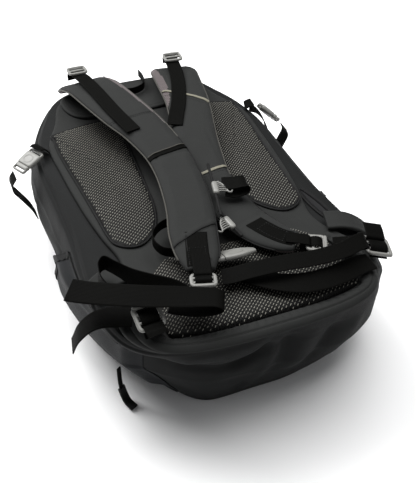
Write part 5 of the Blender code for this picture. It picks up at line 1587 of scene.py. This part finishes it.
# %% Zipped pocket beside the right wing
for label, z, into in (("low", 0.1176, 0.0013), ("high", 0.1284, -0.0013)):
    line, above = [ring_part(level, 0.0006, lambda x, y: (x > 0.12) & (y > -0.152) & (y < -0.083), 50)
                   for level in (z, z + 0.004)]
    band(f"wing_zip_tape_{label}", np.column_stack([line, above - line]), 0.0065, "bag", count=50, thick=0.0008,
         material=BINDING, slot="zip")
    edge = ring_part(z + into, 0.0010, lambda x, y: (x > 0.12) & (y > -0.150) & (y < -0.085), 50)
    lay_beads(f"wing_zip_teeth_{label}", TEETH, [(edge, outward_normals(edge))], "bag", "zip", BLACK_PLASTIC,
              Width=1.5 * MM)
bm = bmesh.new()
bar(bm, [(0.1733, y, 0.1232) for y in np.linspace(-0.1598, -0.1532, 6)], 0.0030, 0.0066, sides=14)
bar(bm, [(0.1744, y, 0.1232) for y in np.linspace(-0.1530, -0.1440, 6)], 0.0014, 0.0030)
finish_piece("wing_zip_pull", bm, "wing_zip", "zip_metal", ZINC, nodes=["wing_zip_slider"], angle=50)

# %% [markdown]
# Beside the back panel a second zip gapes a little, and the shaded inside of the pocket shows between its teeth. A hole
# cut in the bag would need a lined pocket behind it; instead a flat strip in the dark lining finish lies on the surface
# as painted shade.

# %% Gaping zip beside the back panel
SLIT_STEPS = 50
slit = smooth([(0.1300, -0.0700, 0.1453), (0.1335, -0.0950, 0.1453), (0.1385, -0.1250, 0.1453),
               (0.1430, -0.1440, 0.1450)], SLIT_STEPS)
slit_t = unit(np.gradient(slit, axis=0))
slit_side = np.column_stack([slit_t[:, 1], -slit_t[:, 0], np.zeros(SLIT_STEPS)])
slit_side *= np.sign(slit_side[:, :1])
gape = 0.0006 + 0.0042 * np.sin(np.linspace(0, math.pi, SLIT_STEPS))**0.8
rows = np.array([slit + slit_side * (gape * u)[:, None] + np.array([0, 0, 0.0002 * abs(u)])
                 for u in np.linspace(-1, 1, 7)])
bm = grid_bmesh(rows, rows[:, :, :2].copy())
if sum(f.normal.z for f in bm.faces) < 0:
    bmesh.ops.reverse_faces(bm, faces=bm.faces)
# a flat strip in the dark lining finish: painted shade for the dark inside of the gaping pocket
finish_piece("wing_pocket_gap_painted_shade", bm, "bag", "lining", LINING)
for label, sign in (("inner", -1), ("outer", 1)):
    rim = slit + slit_side * (sign * (gape + 0.0016))[:, None] + np.array([0, 0, 0.0008])
    band(f"wing_pocket_tape_{label}", np.column_stack([rim, slit_side]), 0.0046, "bag", count=50, thick=0.0010,
         material=BINDING, slot="zip")
    teeth = slit + slit_side * (sign * (gape + 0.0002))[:, None] + np.array([0, 0, 0.0012])
    lay_beads(f"wing_pocket_teeth_{label}", TEETH, [(teeth, (0, 0, 1))], "bag", "zip", BLACK_PLASTIC,
              Width=1.4 * MM)

# %% [markdown]
# ## Inside
# The divider, the water sleeve, two stays and the frame sheet only show when the lid is open or the bag is
# cut, so they are simple: a thin plate of lining, a flat sleeve open at its top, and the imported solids
# themselves with a finish.

# %% Inside: divider, water sleeve, stays and frame sheet
DIVIDER_LINE = smooth(mirrored([(0, -0.214), (0.06, -0.210), (0.100, -0.180), (0.122, -0.125), (0.134, -0.04),
                                (0.134, 0.06), (0.128, 0.130), (0.100, 0.190), (0.055, 0.215), (0, 0.220)]), 120,
                      closed=True)
finish_piece("divider_cloth", plan_grid(crowned(DIVIDER_LINE, 0.0270, 0.0281, 0.001, steps=4)), "bag", "lining",
             LINING, nodes=["front_pocket_divider"])
SLEEVE_FOOT, SLEEVE_MOUTH, SLEEVE_MIDDLE = -0.1895, 0.1650, 0.1276      # y of its ends, z of its middle
sleeve_rows = []
for y in np.linspace(SLEEVE_FOOT, SLEEVE_MOUTH, 60):
    share = min(1.0, math.sqrt(max(0.0, (y - SLEEVE_FOOT)) / 0.02) + 0.04)
    ring = rounded_rectangle(0.188 * (0.94 + 0.06 * share), 0.0160 * share, 0.0075 * share, 8)
    sleeve_rows.append(np.column_stack([ring[:, 0], np.full(len(ring), y), SLEEVE_MIDDLE + ring[:, 1]]))
sleeve_rows = np.array(sleeve_rows)
sleeve_rows = np.concatenate([sleeve_rows, sleeve_rows[:, :1]], axis=1)
sleeve_uv = np.dstack([np.repeat(lengths(sleeve_rows[40])[None], len(sleeve_rows), 0), sleeve_rows[:, :, 1]])
sleeve = finish_piece("sleeve_cloth", grid_bmesh(sleeve_rows, sleeve_uv, (True, False)), None, "lining", LINING)
sheet_wall(sleeve, 0.0008, 0, "bag", "hydration_sleeve")
for node, material in (("frame_sheet", BLACK_PLASTIC), ("frame_stay_left", MILL), ("frame_stay_right", MILL)):
    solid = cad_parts[node]
    solid.data.materials.clear()
    solid.data.materials.append(material)
print("sleeve", round(SLEEVE_MOUTH - SLEEVE_FOOT, 3), "m long; frame sheet and stays finished")
